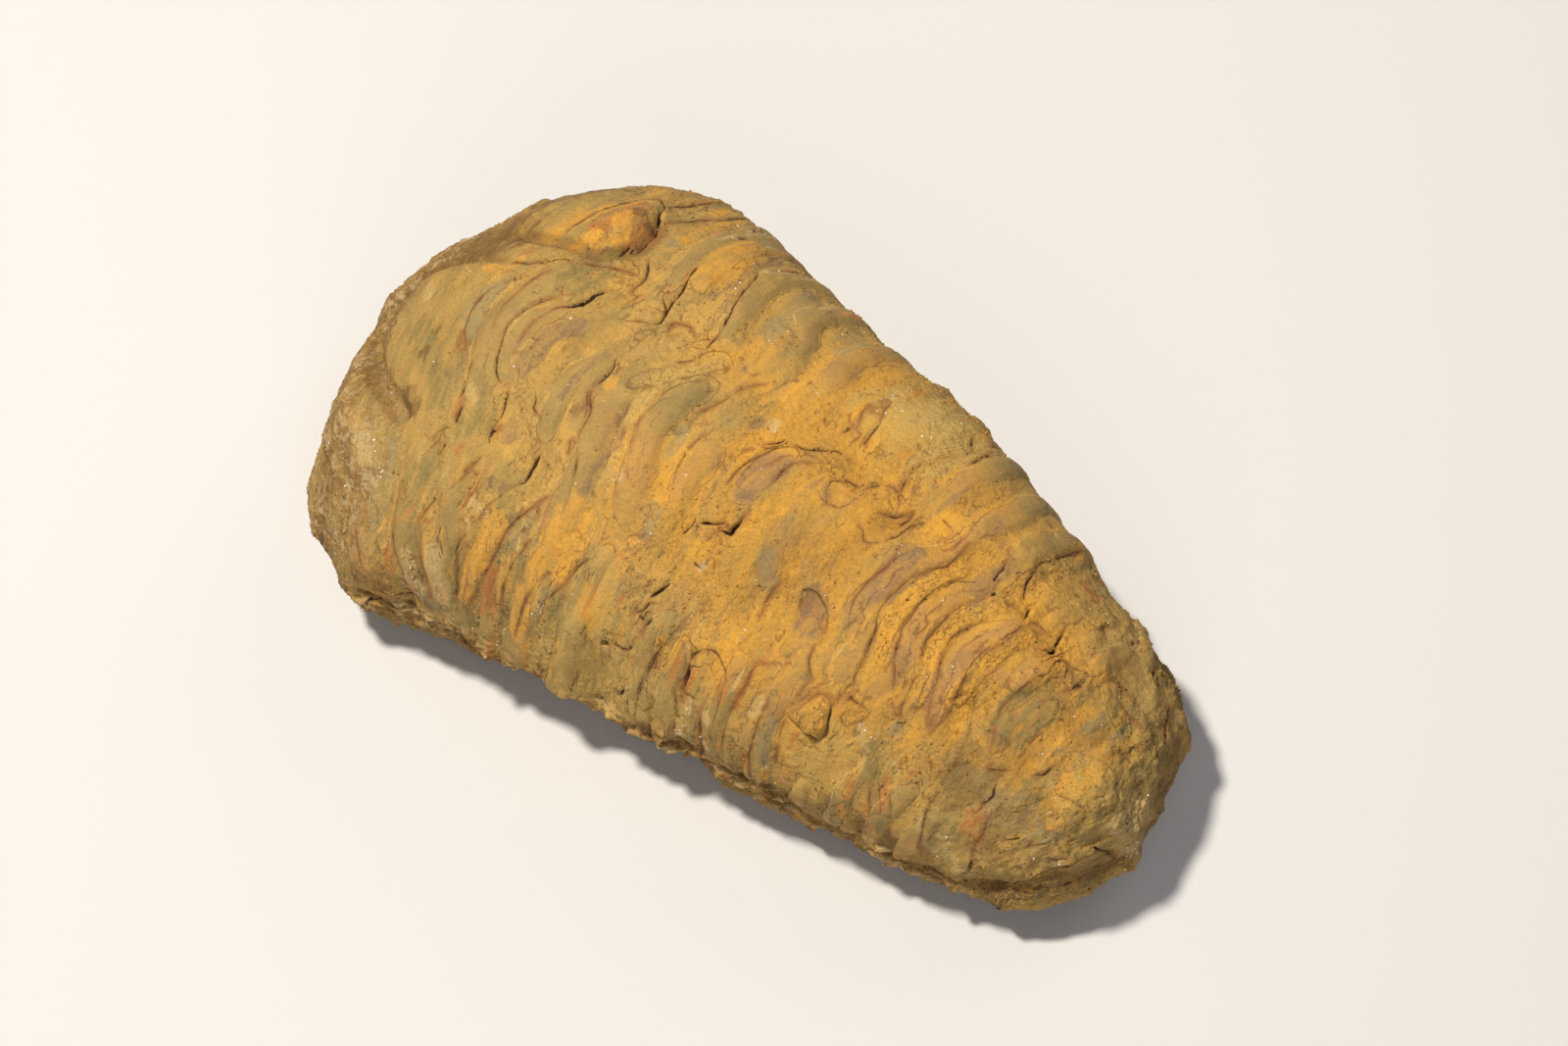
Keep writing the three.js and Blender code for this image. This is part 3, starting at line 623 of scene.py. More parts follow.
# Stains and worn places, by tint: half width, strength, then the middle line.
STAINS = {
    "olive": [
        (6, 0.6, (560, -330), (640, -120), (640, 200)),
        (1.2, 0.8, (-360, -330), (-345, -305)),
        (1, 0.7, (-290, -440)),
        (1, 0.6, (-415, -455), (-420, -520), (-410, -570)),
        (0.7, 1.5, (-280, -550), (-310, -665), (-320, -775), (-305, -885)),
        (0.6, 1.4, (-245, -495), (-270, -625), (-290, -745)),
        (0.8, 1.5, (-215, -595), (-230, -695), (-235, -845)),
        (0.9, 1.3, (-135, -610), (-135, -665), (-135, -725)),
        (0.4, 1.3, (-360, -595), (-360, -675), (-360, -810)),
        (0.7, 1, (-395, -465), (-400, -510)),
        (1, 0.5, (-70, 480), (-60, 395), (-60, 290)),
        (1.5, 0.9, (-345, 165), (-345, 100)),
        (1.4, 0.7, (-105, 50), (-115, -5), (-120, -65)),
        (0.7, 0.8, (185, -420)),
        (0.7, 0.8, (230, -445)),
        (1.6, 0.8, (450, -440), (480, -445)),
        (1.4, 0.8, (-535, -150), (-465, -235), (-425, -295)),
        (1.2, 0.7, (-455, -120), (-395, -225), (-345, -320)),
        (1.5, 0.8, (515, -460), (530, -405), (550, -340)),
        (0.9, 0.8, (440, -470), (470, -405)),
        (0.5, 1.8, (455, -230), (455, -165), (455, -80)),
        (1.1, 1.3, (430, -230), (420, -145), (430, -60), (450, -25)),
        (0.6, 1.2, (285, -535), (325, -725), (345, -920)),
        (0.6, 1.1, (340, -515), (390, -700), (415, -830)),
        (1.5, 0.7, (490, 175), (565, 160), (660, 85)),
        (2, 0.6, (620, -120), (660, -200), (640, -330)),
        (2.6, 0.7, (550, -130), (600, -160)),
    ],
    "grey": [
        (0.8, 1.2, (-440, 15), (-450, -25), (-450, -65), (-445, -120)),
        (0.5, 1.2, (-250, -540), (-240, -550)),
        (0.5, 1, (-165, -595), (-170, -640), (-175, -715)),
        (1.5, 0.5, (-230, -500)),
        (0.5, 1.2, (-310, 360)),
        (0.8, 1.3, (-125, 525), (-115, 435), (-110, 350), (-110, 295)),
        (1.1, 0.9, (-30, 510), (-25, 395)),
        (0.8, 0.8, (-160, -335)),
        (0.5, 1.2, (-95, -145), (-95, -100), (-95, -70)),
        (0.7, 1.2, (-375, -835), (-365, -865), (-340, -885)),
        (0.9, 0.9, (-60, -290), (-55, -335)),
        (0.6, 0.7, (-55, -515)),
        (0.4, 0.8, (20, 170)),
        (0.8, 1.3, (90, -230), (100, -250), (115, -280)),
        (0.6, 1.2, (220, -610), (220, -690), (230, -780)),
        (0.7, 1, (350, -430)),
        (0.9, 1.2, (445, -460), (445, -400), (465, -395)),
        (1.4, 1.3, (510, -445), (540, -400), (585, -395)),
        (0.4, 1.2, (510, 10), (520, 90)),
        (0.4, 1.2, (555, 45), (565, 160)),
        (0.5, 0.8, (470, 270)),
        (1.6, 0.8, (-475, -470), (-470, -600), (-440, -720)),
    ],
    "violet": [
        (0.7, 1, (-305, -290), (-300, -325)),
        (0.7, 1.7, (-330, -155), (-325, -115), (-320, -70), (-315, -30), (-300, 15)),
        (0.4, 1.3, (-170, -155), (-175, -115), (-165, -60), (-155, -5), (-140, 60)),
        (0.45, 1.3, (-165, -355), (-160, -310), (-160, -255), (-160, -195), (-165, -150)),
        (0.3, 1.1, (-255, -180), (-255, -105), (-250, -40), (-245, -5)),
        (0.8, 0.9, (-575, 325), (-525, 330), (-515, 390), (-515, 470)),
        (0.45, 1.1, (-215, 560), (-205, 470), (-200, 370), (-200, 275)),
        (0.7, 1.4, (-210, 535)),
        (0.5, 1.4, (-385, 225), (-370, 210)),
        (0.6, 1, (-295, -435), (-275, -435)),
        (0.35, 0.9, (-135, 55), (-120, 100)),
        (0.6, 0.7, (-25, 65)),
        (0.5, 0.7, (-95, 170)),
        (0.9, 1.3, (30, 20), (20, -45), (15, -105)),
        (0.3, 1, (90, 55), (105, 15)),
        (0.9, 1.4, (170, -240), (180, -285), (185, -325)),
        (1, 0.8, (195, 430), (190, 355)),
        (1.1, 1.9, (230, 30), (225, -30), (225, -110)),
        (0.5, 1, (490, -205), (490, -140)),
    ],
    "rust": [
        (0.35, 1.1, (-360, -400)),
        (0.9, 1.2, (-400, 270), (-390, 300), (-390, 355), (-390, 400)),
        (0.4, 2, (-445, 135)),
        (0.4, 1.4, (210, -845), (200, -775)),
        (0.4, 1.2, (270, -780)),
        (0.25, 1.3, (85, -590), (90, -680)),
        (0.25, 1.2, (115, -550), (140, -615)),
        (0.3, 1.3, (165, -485), (165, -535), (165, -630)),
        (0.4, 1, (-320, -330), (-320, -290)),
        (0.35, 0.8, (-390, -285), (-390, -325)),
        (0.4, 1.2, (335, -610), (345, -680)),
        (0.4, 1.1, (375, -575), (395, -680)),
        (0.7, 1.5, (555, -635), (515, -590), (495, -510)),
        (0.5, 1.3, (675, -65)),
        (0.8, 1, (425, 440), (440, 450)),
        (0.7, 1.2, (-265, -655), (-265, -725), (-275, -805)),
        (1.3, 1, (-350, 285), (-350, 355)),
        (0.6, 0.6, (-320, -20)),
        (0.6, 0.5, (-20, -180)),
        (0.7, 0.5, (45, -600)),
        (0.6, 0.6, (340, -630)),
        (1.2, 0.6, (535, -585), (580, -600)),
    ],
    "brown": [
        (0.8, 0.9, (565, -600), (605, -635)),
        (0.25, 1.4, (510, 275), (560, 260), (665, 195)),
        (0.5, 1, (-495, -215)),
        (3, 1.1, (-800, -130), (-790, 0), (-740, 70), (-640, 120), (-550, 200)),
        (1.3, 1, (-630, -230), (-675, -130), (-705, 15), (-655, 120)),
        (1.8, 0.8, (-560, 215), (-560, 300), (-550, 440), (-500, 560), (-460, 705)),
        (2.4, 0.5, (-640, -290), (-655, -360), (-650, -420), (-645, -540)),
        (0.8, 1.1, (-570, -580), (-525, -595)),
        (0.6, 0.8, (-610, -455), (-575, -485)),
        (0.3, 1.1, (-660, -540), (-620, -625), (-570, -755), (-485, -810), (-450, -880)),
        (1.3, 0.5, (-560, -480), (-560, -620), (-500, -760), (-430, -880)),
        (2, 0.8, (760, 420), (900, 300), (980, 60), (900, -150)),
        (1.5, 0.8, (660, -880), (800, -720), (860, -420), (900, -200)),
        (1.8, 0.5, (-630, -350), (-570, -390), (-530, -410)),
        (0.5, 1.2, (-385, 375), (-355, 365)),
        (0.6, 1.1, (-610, -465), (-565, -465)),
        (0.5, 1.3, (-545, -570), (-515, -570)),
        (0.8, 0.7, (-225, -170)),
        (0.6, 0.5, (-290, -565), (-305, -630), (-315, -720), (-310, -805)),
        (1.6, 0.8, (630, 680), (715, 660), (760, 540)),
        (0.9, 1.2, (-490, -325), (-470, -345)),
        (2, 0.5, (-670, -365), (-600, -400)),
        (0.5, 0.7, (-500, -145)),
        (0.5, 0.7, (-380, 230)),
        (1.1, 0.5, (-295, -35), (-270, -35)),
        (0.35, 1, (-50, -685)),
        (1.5, 0.8, (20, -910), (60, -975)),
        (0.35, 0.7, (140, 145), (160, 165), (175, 145), (175, 105)),
        (0.8, 0.7, (190, 545)),
        (1, 0.6, (590, -360)),
        (0.5, 0.8, (425, 440)),
        (0.5, 0.8, (575, 450)),
    ],
    "pale": [
        (0.45, 1.5, (-640, -265), (-570, -305), (-520, -345), (-485, -385)),
        (0.6, 0.8, (-585, -30), (-575, -65)),
        (0.5, 0.8, (315, -495), (335, -540)),
        (0.5, 0.7, (445, -635), (475, -750)),
        (0.8, 0.7, (505, -755), (545, -795)),
        (0.25, 1, (-525, -455)),
        (0.3, 1, (-535, -520)),
        (0.22, 1, (-495, -410)),
        (0.6, 0.9, (-370, -675), (-370, -760), (-370, -830)),
        (0.9, 1.1, (-335, -650), (-340, -715), (-340, -800)),
        (0.9, 1.2, (-545, -465), (-530, -455), (-530, -515)),
        (0.7, 0.9, (-305, -495), (-290, -500)),
        (0.5, 1, (-385, -255), (-370, -280)),
        (0.2, 1.4, (-270, 460), (-265, 540), (-270, 710)),
        (0.2, 1.4, (-190, 445), (-180, 525), (-180, 630)),
        (0.2, 1.4, (-95, 480), (-95, 545)),
        (1.6, 0.6, (-500, -540), (-570, -485), (-660, -470)),
        (1, 0.7, (-140, -275)),
        (0.4, 1, (30, -350)),
        (0.45, 1.5, (-10, 90)),
        (0.22, 1, (225, -105)),
        (0.2, 1, (235, -175)),
        (0.25, 1, (260, -570)),
        (0.25, 1, (325, -555)),
        (0.3, 1, (265, 275)),
        (0.3, 1, (355, 465)),
        (1.2, 0.7, (490, -690), (505, -765)),
        (2, 2.6, (695, -110), (770, -130), (790, -50)),
        (0.5, 1.3, (105, -720), (100, -815), (95, -895)),
        (0.5, 2, (135, -730)),
        (0.5, 2, (145, -860)),
        (0.4, 2, (195, -585), (195, -630)),
        (0.5, 1.2, (-380, -780), (-365, -785), (-345, -770)),
        (0.35, 1.2, (-580, -595), (-555, -540)),
        (0.6, 1, (-400, -965), (-385, -945)),
        (2, 0.6, (110, 350), (160, 405)),
    ],
    "pink": [
        (1.6, 0.8, (-550, -520), (-535, -665), (-440, -765), (-415, -920)),
        (0.9, 0.9, (360, 60), (345, -25), (340, -125), (345, -235)),
        (0.8, 0.7, (320, 180), (300, 70), (290, 0), (280, -80), (285, -165)),
        (0.9, 0.8, (410, 60), (405, 0), (395, -60)),
        (0.8, 0.6, (420, 170), (450, 60), (490, -40), (480, -140)),
        (1, 0.6, (560, -20), (520, -60), (500, -130)),
        (1, 1.1, (645, -495), (700, -435)),
    ],
    "bright": [
        (0.7, 1.2, (-410, 200), (-395, 240), (-380, 240)),
        (0.7, 1.7, (-385, 330), (-360, 290), (-358, 265)),
        (0.9, 0.9, (-465, 225), (-445, 320), (-420, 405)),
        (1, 0.8, (385, 200), (375, 160)),
        (0.9, 1, (425, 195), (420, 150)),
        (1.2, 0.8, (470, 215), (490, 295)),
        (1, 0.8, (540, -200), (585, -330)),
        (0.6, 1.3, (490, -255), (485, -160), (490, -75)),
        (0.5, 1.2, (-490, 60), (-460, 70), (-445, 95)),
        (1.4, 0.6, (150, -120), (160, -40), (140, 60)),
        (1.1, 0.8, (-465, 50)),
        (0.8, 1.6, (-265, -515), (-285, -620), (-300, -715), (-310, -785)),
        (0.9, 1.5, (-185, -540), (-200, -675), (-205, -805)),
        (1.8, 1.2, (-160, -405), (-165, -475), (-170, -540)),
        (1.4, 1.1, (-235, 495), (-230, 385), (-225, 290)),
        (0.6, 1.5, (-295, 400)),
        (0.6, 0.9, (-215, -75)),
        (1, 0.8, (-260, -530)),
        (0.9, 0.9, (420, 205), (430, 160)),
        (1, 0.8, (470, 225), (495, 250)),
        (2, 1.3, (300, -590), (300, -690), (296, -760)),
    ],
    "sand": [
        (0.6, 2.2, (-175, -65), (-165, -10), (-150, 40), (-135, 90), (-125, 160)),
        (0.45, 2, (-165, -130), (-165, -90)),
        (0.5, 2, (-155, -305), (-150, -260), (-150, -230)),
        (3, 1.3, (95, 335), (120, 370), (155, 380), (180, 440)),
        (3, 0.6, (560, -110), (610, -120), (570, -170)),
        (2.2, 0.9, (300, -590), (300, -690), (296, -760)),
        (3.4, 1.5, (-85, -740), (-20, -790), (40, -780), (-60, -900)),
    ],
}

# The fossil's own pattern: rings and ribs cross the body, bowed and swept, and the head and
# tail end in borders that run round them. Chance patterns are drawn out along these lines.
RUN_LENGTH = 63  # millimetres along the crest for one unit of p, near mid length
SPAN_LENGTH = 33  # millimetres from the crest to the rim, one unit of q
RING_BOW = 0.025  # the rings bow to the head this far, most at the bow's middle
BOW_MIDDLE = -0.1
BOW_WIDTH = 0.2
SWEEP = (0.05, 0.22)  # how much the far ribs sweep to the tail at mid length, and more behind it
SWEEP_START = 0.25
BORDER_ROUNDNESS = 5
HEAD_BORDER = (0.45, 0.68)  # where, from mid length to the end, the ribs give way to the border
TAIL_BORDER = (0.62, 0.82)
STREAK = 0.2  # how much shorter a pattern is counted along the ribs than across them
SKIRT_DEPTH = 11  # millimetres of surface from the rim down to the flat


def pattern_places(p, q, below):
    """For each point: across the ribs, along them (shortened), and down from the rim."""
    bow = RING_BOW * bell(q - BOW_MIDDLE, BOW_WIDTH)
    sweep = (SWEEP[0] + SWEEP[1] * p) * np.clip(q - SWEEP_START, 0, None)
    at_end = np.where(p < 0, easing(*HEAD_BORDER, -p), easing(*TAIL_BORDER, p))
    outline = np.abs(p) ** BORDER_ROUNDNESS + np.abs(q) ** BORDER_ROUNDNESS
    border = np.sign(p) * outline ** (1 / BORDER_ROUNDNESS)
    round_end = np.arctan2(q, np.abs(p) + TINY) * 4 / np.pi
    across = (p + bow - sweep) * (1 - at_end) + border * at_end
    along = (q * (1 - at_end) + round_end * at_end) * SPAN_LENGTH
    along = along + np.sign(q) * below * (1 - at_end)
    return np.stack([across * RUN_LENGTH, along * (STREAK + 0.5 * at_end), below * at_end], -1)


# Broad lumps (+) and hollows (-) in millimetres: half width, height, then the middle line.
SWELLS = [
    # The head: its rolled border, the furrow behind it, and the groove across the near cheek.
    (4, -0.75, (-600, 190), (-590, 340), (-570, 450), (-560, 560)),
    (1.8, 0.8, (-540, 235), (-530, 310), (-510, 435), (-505, 545), (-450, 580)),
    (0.9, -0.8, (-535, 200), (-480, 205), (-415, 210), (-360, 215), (-335, 290), (-345, 380)),
    (1.3, 0.7, (-390, 270), (-380, 355), (-390, 445)),
    (1.4, 0.4, (-595, -10), (-510, 50), (-425, 70), (-390, 130)),
    (1.1, -0.5, (-560, -420), (-650, -250), (-700, -100), (-660, 30), (-560, 80), (-480, 95)),
    (3, 0.8, (-770, 15), (-755, 55), (-735, 90)),
    (1.1, -1.3, (-720, -200), (-635, -265), (-550, -325), (-490, -370)),
    (2.5, 0.6, (-630, -370), (-600, -450)),
    (4, -0.3, (-720, -575), (-745, -725), (-710, -1000)),
    (1.2, 0.8, (-605, 330), (-592, 365)),
    (1, -0.3, (-570, 190), (-555, 235)),
    (0.4, 0.25, (-395, 300)),
    (0.4, -0.25, (-370, 255), (-385, 290)),
    (0.35, 0.25, (-372, 330)),
    (0.3, -0.2, (-395, 350)),
    (0.7, 0.4, (-455, 115), (-420, 160)),
    # The near flank: the block of bare siltstone, and the thinner rim behind it.
    (3, 0.9, (-145, -905), (-95, -950), (-40, -970), (35, -930), (65, -985)),
    (3, -0.4, (210, -1000), (300, -975), (420, -935), (575, -945)),
    # The middle, worn down, and the bare patch high on the far flank.
    (4, -0.3, (135, -275), (135, -135), (155, -10)),
    (4, 0.4, (110, 395), (170, 455), (215, 500)),
    # The tail: the crumbly mound, and the bed that runs under it along the near corner.
    (2.6, 0.8, (580, -120), (655, -140)),
    (1.3, 0.6, (600, -790), (710, -650), (715, -420), (780, -240)),
    (1.6, -0.6, (640, -860), (800, -680), (790, -400), (860, -190)),
]

SWELL_REACH = 2.4  # half widths from its line at which a lump has died out

# Flat facets of broken stone: half width, depth, lean to the tail and to the far side, place.
FACETS = [
    (3.6, 0.4, 0.05, 0.15, (640, 400)),
    (3.4, 0.5, 0.2, 0.05, (790, 220)),
    (3.6, 0.6, 0.15, 0, (830, -20)),
    (3, 0.5, 0.1, -0.1, (770, -200)),
    (2.8, 0.4, -0.1, -0.15, (700, -400)),
    (2.6, 0.45, -0.05, -0.15, (560, -415)),
    (2.2, 0.3, 0, -0.15, (455, -400)),
    (3, 0.4, 0, 0, (690, -760)),
    (3.6, 0.5, 0.1, -0.1, (860, -430)),
    (2.4, 0.3, -0.1, 0.1, (545, 300)),
    (2.6, 0.35, 0, -0.1, (590, -640)),
    (3, 0.35, -0.1, 0, (-620, -640)),
    (2.6, 0.3, 0, -0.1, (-500, -800)),
    (3, 0.3, -0.2, 0.1, (-700, 60)),
]
FACET_BEND = 0.22
FACET_SPREAD = 2.5  # half widths from its place within which a facet cuts
FACET_STEEPEST = 0.4

# A band stands up by a small step at its edge, sharper to the head, and a low rounded crown.
# Before it, on the side to the head, runs a strip of coarse grain a little lower.
BAND_SPREAD = 1.35
BAND_STEP = 0.18
BAND_CROWN = 0.1
EDGE_TO_HEAD = 0.13
EDGE_TO_TAIL = 0.6
GROOVE_BESIDE = 0.07
GROOVE_PLACE = 0.12
GROOVE_WIDTH = 0.15
STRIP_WIDTH = 0.9
STRIP_DEPTH = 0.08
WORN_DEPTH = 0.12
WORN_CROWN = 0.06
BESIDE_BAND = 1.8  # how far past a band's edge it still matters
CRUST_SPREAD = 1.15
CRUST_RISE = 0.2
RUNS_TO_RIM = 850  # a band that ends past here goes on down the flank
FISSURE_REACH = 1.2
FISSURE_DEEPEST = 0.6
HALF_OPEN = 0.2  # half of a fissure's opening, as a share of the width given for it
HALF_LEAST = 0.015
WALL_SLOPE = 0.09
WALL_CURVE = 0.7
LIP_RISE = 0.05
LIP_WIDTH = 0.7
EDGE_STEP = 0.06  # one side of a thin edge stands this much higher, the other this much lower
DUST_REACH = COLUMNS // 45
DUST_FILL = 0.85
DUST_BELOW = 0.07  # how far the dust lies below the evened-out surface,
BARE_BELOW = 0.5  # and how much farther where the stone is bare
DUST_MOST = 0.3
STAIN_FULL = 1.35  # a stain is full inside, and gone where this much is taken off it
STAIN_FALL = 0.8
STAIN_WANDER = 0.8

# The raised flake on the near flank, and the pit in front of it.
FLAKE_OUTLINE = [
    (235, -568), (240, -515), (250, -465), (265, -460), (280, -530), (280, -590), (260, -586),
]
FLAKE_RISE = 0.7
FLAKE_SLOPE = 0.3
FLAKE_SIZE = 0.8  # the lump's reach, as a share of the outline's
PIT = (-50, -685)
PIT_DEPTH = 0.7
PIT_HALF = 0.32
PIT_RIM = 0.34
FAR_OFF = 3  # millimetres from a band or fissure that no longer matter


def swell_height(points):
    """The broad lumps and hollows, added up."""
    height = np.zeros(len(points))
    for half, rise, *places in SWELLS:
        near, off, _ = near_line(points, line_on_body(places, step=1), half * SWELL_REACH)
        height[near] += rise * bell(off, half)
    return height


def rounded_ends(share, roundness):
    """1 along most of a line, falling to nothing at both ends."""
    return np.sqrt(np.clip(1 - np.abs(2 * share - 1) ** roundness, 0, 1))


def inside_line(points, wobble, width, places):
    """For points near a band: how far inside its edge they lie, its half width there, how far
    they are from its ends, and whether they are on its side to the tail."""
    line = line_on_body(places)
    full = width * BAND_SPREAD / 2
    near, off, share = near_line(points, line, full + BESIDE_BAND)
    end = rounded_ends(share, 4)
    for past_middle, last in ((share < 0.5, places[0]), (share >= 0.5, places[-1])):
        if abs(last[1]) > RUNS_TO_RIM:
            end[past_middle] = 1
    half = full * at_least(0.45, end)
    step = (share * (len(line) - 1)).astype(int)
    tailward = easing(-0.3, 0.3, points[near, 0] - line[step, 0])
    return near, half - off + wobble[near], half, end, tailward


def carve_bands(points, wobble, height):
    """Raises the bands. Returns the depth inside the nearest one's edge, where that edge faces
    the head, the coarse strip before it, and how clear the band is, which fades at its ends."""
    depth_in = np.full(len(points), -float(FAR_OFF))
    headward, clear = np.zeros((2, len(points)))
    uneven = wobble + bumps(points, (0.22, 3.5, 41))
    for bands, outline, worn in ((BANDS, uneven, False), (WORN_BANDS, wobble, True)):
        for width, *places in bands:
            near, inside, half, end, tailward = inside_line(points, outline, width, places)
            edge = EDGE_TO_HEAD + (EDGE_TO_TAIL - EDGE_TO_HEAD) * tailward
            crown = np.clip(inside / half, 0, 1)
            raised = BAND_STEP * easing(0, 1, inside / edge) + BAND_CROWN * (1 - (1 - crown) ** 2)
            if worn:
                height[near] -= WORN_DEPTH * easing(0, EDGE_TO_HEAD, inside) - WORN_CROWN * crown
            else:
                height[near] = np.maximum(height[near], raised * at_least(0.1, end))
            nearer = inside > depth_in[near]
            depth_in[near[nearer]] = inside[nearer]
            headward[near[nearer]] = (end * (1 - tailward) * (0 if worn else 1))[nearer]
            clear[near[nearer]] = easing(0.3, 0.9, end[nearer])
    groove = bell(depth_in + GROOVE_PLACE, GROOVE_WIDTH)
    strip = headward * np.exp(-(((depth_in + STRIP_WIDTH / 2) / (STRIP_WIDTH / 2)) ** 4))
    height -= GROOVE_BESIDE * groove * headward + STRIP_DEPTH * strip
    return depth_in, headward, strip, clear


def raise_crusts(points, wobble, height):
    """Raises the plates of crust by a sharp step. Returns how much each point is on one."""
    crust = np.zeros(len(points))
    ragged = 1.6 * wobble + bumps(points, (0.12, 0.8, 29))
    for width, *places in CRUSTS:
        near, inside, _, end, _ = inside_line(points, ragged, width * CRUST_SPREAD, places)
        crust[near] = np.maximum(crust[near], easing(-0.03, 0.1, inside) * at_least(0.4, end))
    height += CRUST_RISE * crust * (1 + bumps(points, (0.5, 1.3, 37)))
    return crust


def cut_line(points, normals, wobble, height, width, places, steepness, narrowest, widest):
    """Cuts one fissure or edge. Returns the points near it, their way off it and half widths."""
    line = line_on_body(places)
    near, off, share = near_line(points, line, FISSURE_REACH)
    uneven_width = np.clip(0.8 + bumps(points[near], (0.7, 1.1, 30)), narrowest, widest)
    step = np.minimum((share * (len(line) - 1)).astype(int), len(line) - 2)
    across = np.cross(normals[near], line[step + 1] - line[step])
    side = np.sign(np.sum(across * (points[near] - line[step]), axis=1))
    signed = off * side + wobble[near]
    end = rounded_ends(share, 3)
    past_end = (share <= 0) | (share >= 1)
    half = (width * HALF_OPEN * at_least(0.25, end) + HALF_LEAST) * uneven_width
    half = np.where(past_end & (off > 0.1), 0, half)
    depth = min(steepness * width, FISSURE_DEEPEST) * at_least(0.15, end) * uneven_width
    sloping = np.maximum(half, 0.05) + WALL_SLOPE
    cut = np.clip(1 - np.abs(signed) / sloping, 0, 1) ** WALL_CURVE
    lip = LIP_RISE + EDGE_STEP * np.sign(signed) * easing(0, 0.06, np.abs(signed))
    height[near] += lip * end * bell(off, LIP_WIDTH) - depth * cut * (half > 0)
    return near, signed, half


def cut_fissures(points, normals, wobble, height):
    """Cuts the fissures, and returns each point's way off the nearest one and its half width."""
    side = np.full(len(points), float(FAR_OFF))
    half_width = np.zeros(len(points))
    for lines, *kind in ((FISSURES, 1.6, 0.45, 1.3), (SHELL_EDGES, 0.7, 0.25, 1.1)):
        for width, *places in lines:
            near, signed, half = cut_line(points, normals, wobble, height, width, places, *kind)
            nearer = np.abs(signed) < np.abs(side[near])
            side[near[nearer]] = signed[nearer]
            half_width[near[nearer]] = half[nearer]
    return side, half_width


def fill_hollows(height, points, p, q, upper_index):
    """Dust lies smooth in the hollows. Returns how deep it covers each point, in millimetres."""
    level = softened(softened(height[upper_index], DUST_REACH, False), DUST_REACH, False)
    level += bumps(points, (0.14, 5, 35), (0.05, 2.2, 36))[upper_index]
    bare = easing(0.72, 0.92, np.abs(q)) + easing(0.62, 0.8, -p) + 0.6 * easing(0.35, 0.55, -p)
    bare += 0.9 * easing(0.4, 0.6, p)
    level -= DUST_BELOW + BARE_BELOW * bare[upper_index]
    cover = np.zeros(len(points))
    cover[upper_index] = level - height[upper_index]
    height += DUST_FILL * np.clip(cover, 0, None)
    return np.clip(cover, -DUST_MOST, DUST_MOST)


def stain_masks(points, pattern):
    """How strongly each tint lies on each point, and how much any of them does."""
    wander = bumps(pattern, (0.5, 0.9, 21)) + bumps(points, (0.35, 0.8, 22))
    masks = {}
    for tint, patches in STAINS.items():
        mask = np.zeros(len(points))
        for half, strength, *places in patches:
            near, off, _ = near_line(points, line_on_body(places), half * 2 + 0.8)
            outward_share = off / half + wander[near] * STAIN_WANDER
            level = strength * easing(0, 1, STAIN_FULL - STAIN_FALL * outward_share)
            mask[near] = np.maximum(mask[near], level)
        masks[tint] = mask
    masks["stained"] = np.clip(np.max(list(masks.values()), axis=0), 0, 1)
    return masks


def cut_facets(points, normals, broad, fine):
    """Breaks off what stands out past tilted planes. Returns how far each point came down."""
    lost = np.zeros(len(points))
    for half, depth, to_tail, to_far, place in FACETS:
        centre = line_on_body([place])[0]
        away = np.linalg.norm(points - centre, axis=1)
        near = np.flatnonzero(away < half * FACET_SPREAD)
        facing = normals[near[np.argmin(away[near])]] + (to_tail, to_far, 0)
        facing /= np.linalg.norm(facing)
        height = broad[near] + fine[near] - lost[near]
        way = points[near] + normals[near] * height[:, None] - centre + facing * depth
        out = way @ facing - FACET_BEND * np.clip(away[near] - half, 0, None)
        chips = stepped(unevenness(points[near], 1.7, 44), 2)
        small_chips = stepped(unevenness(points[near], 0.9, 58), 2)
        out += 0.15 * chips + bumps(points[near], (0.04, 0.5, 45))
        out += bumps(points[near], (0.3, 2.8, 47)) + 0.14 * small_chips
        lost[near] += np.clip(out, 0, None) / np.maximum(normals[near] @ facing, FACET_STEEPEST)
    return lost


def flake_height(points, wobble):
    """The raised flake on the near flank: a flat top with a short, ragged slope round it."""
    corners = line_on_body(FLAKE_OUTLINE + FLAKE_OUTLINE[:1], step=9)
    centre = corners.mean(0)
    radius = np.linalg.norm(corners - centre, axis=1).mean()
    off = np.linalg.norm(points - centre, axis=1) + wobble * 2
    return FLAKE_RISE * easing(0, FLAKE_SLOPE, radius * FLAKE_SIZE - off)


FLUSH = 0.15  # millimetres that the carved surface is taken down, to lie level with the solid
LAYERS = 3.2  # how many thin beds one swing of the chance pattern steps through
LEDGE_RISE = 0.1
STREAK_CRACK = 0.08
CRACK_DEPTH = 0.12
LYING_BEDS = (0.35, 0.35, 1.5)  # the siltstone's beds lie level: long across, thin upward


def crease(values, sharpness):
    """Thin lines where a chance pattern passes through nothing: 1 on the line, 0 away from it."""
    return np.clip(1 - np.abs(values) * sharpness, 0, 1)


def stepped(values, steps):
    """Chance bumps cut into flat steps with sharp edges, this many for one unit."""
    level = np.floor(values * steps)
    return (level + easing(0, 0.3, values * steps - level)) / steps


def carried_down(values, lower_index, lowest):
    """What is true at the rim goes on down the flank, fading to a share of it at the foot."""
    share = np.linspace(1, lowest, SKIRT_RINGS + 1)[:, None]
    values[lower_index[: SKIRT_RINGS + 1]] = values[lower_index[0]] * share


WORN_PLACE = (0.22, -0.03)
WORN_REACH = (0.4, 0.55)


def worn_middle(p, q):
    """How much the middle lobe is worn smooth, from mid length back."""
    off = [(value - at) / reach for value, at, reach in zip((p, q), WORN_PLACE, WORN_REACH)]
    return np.exp(-(off[0] ** 2) - off[1] ** 2)


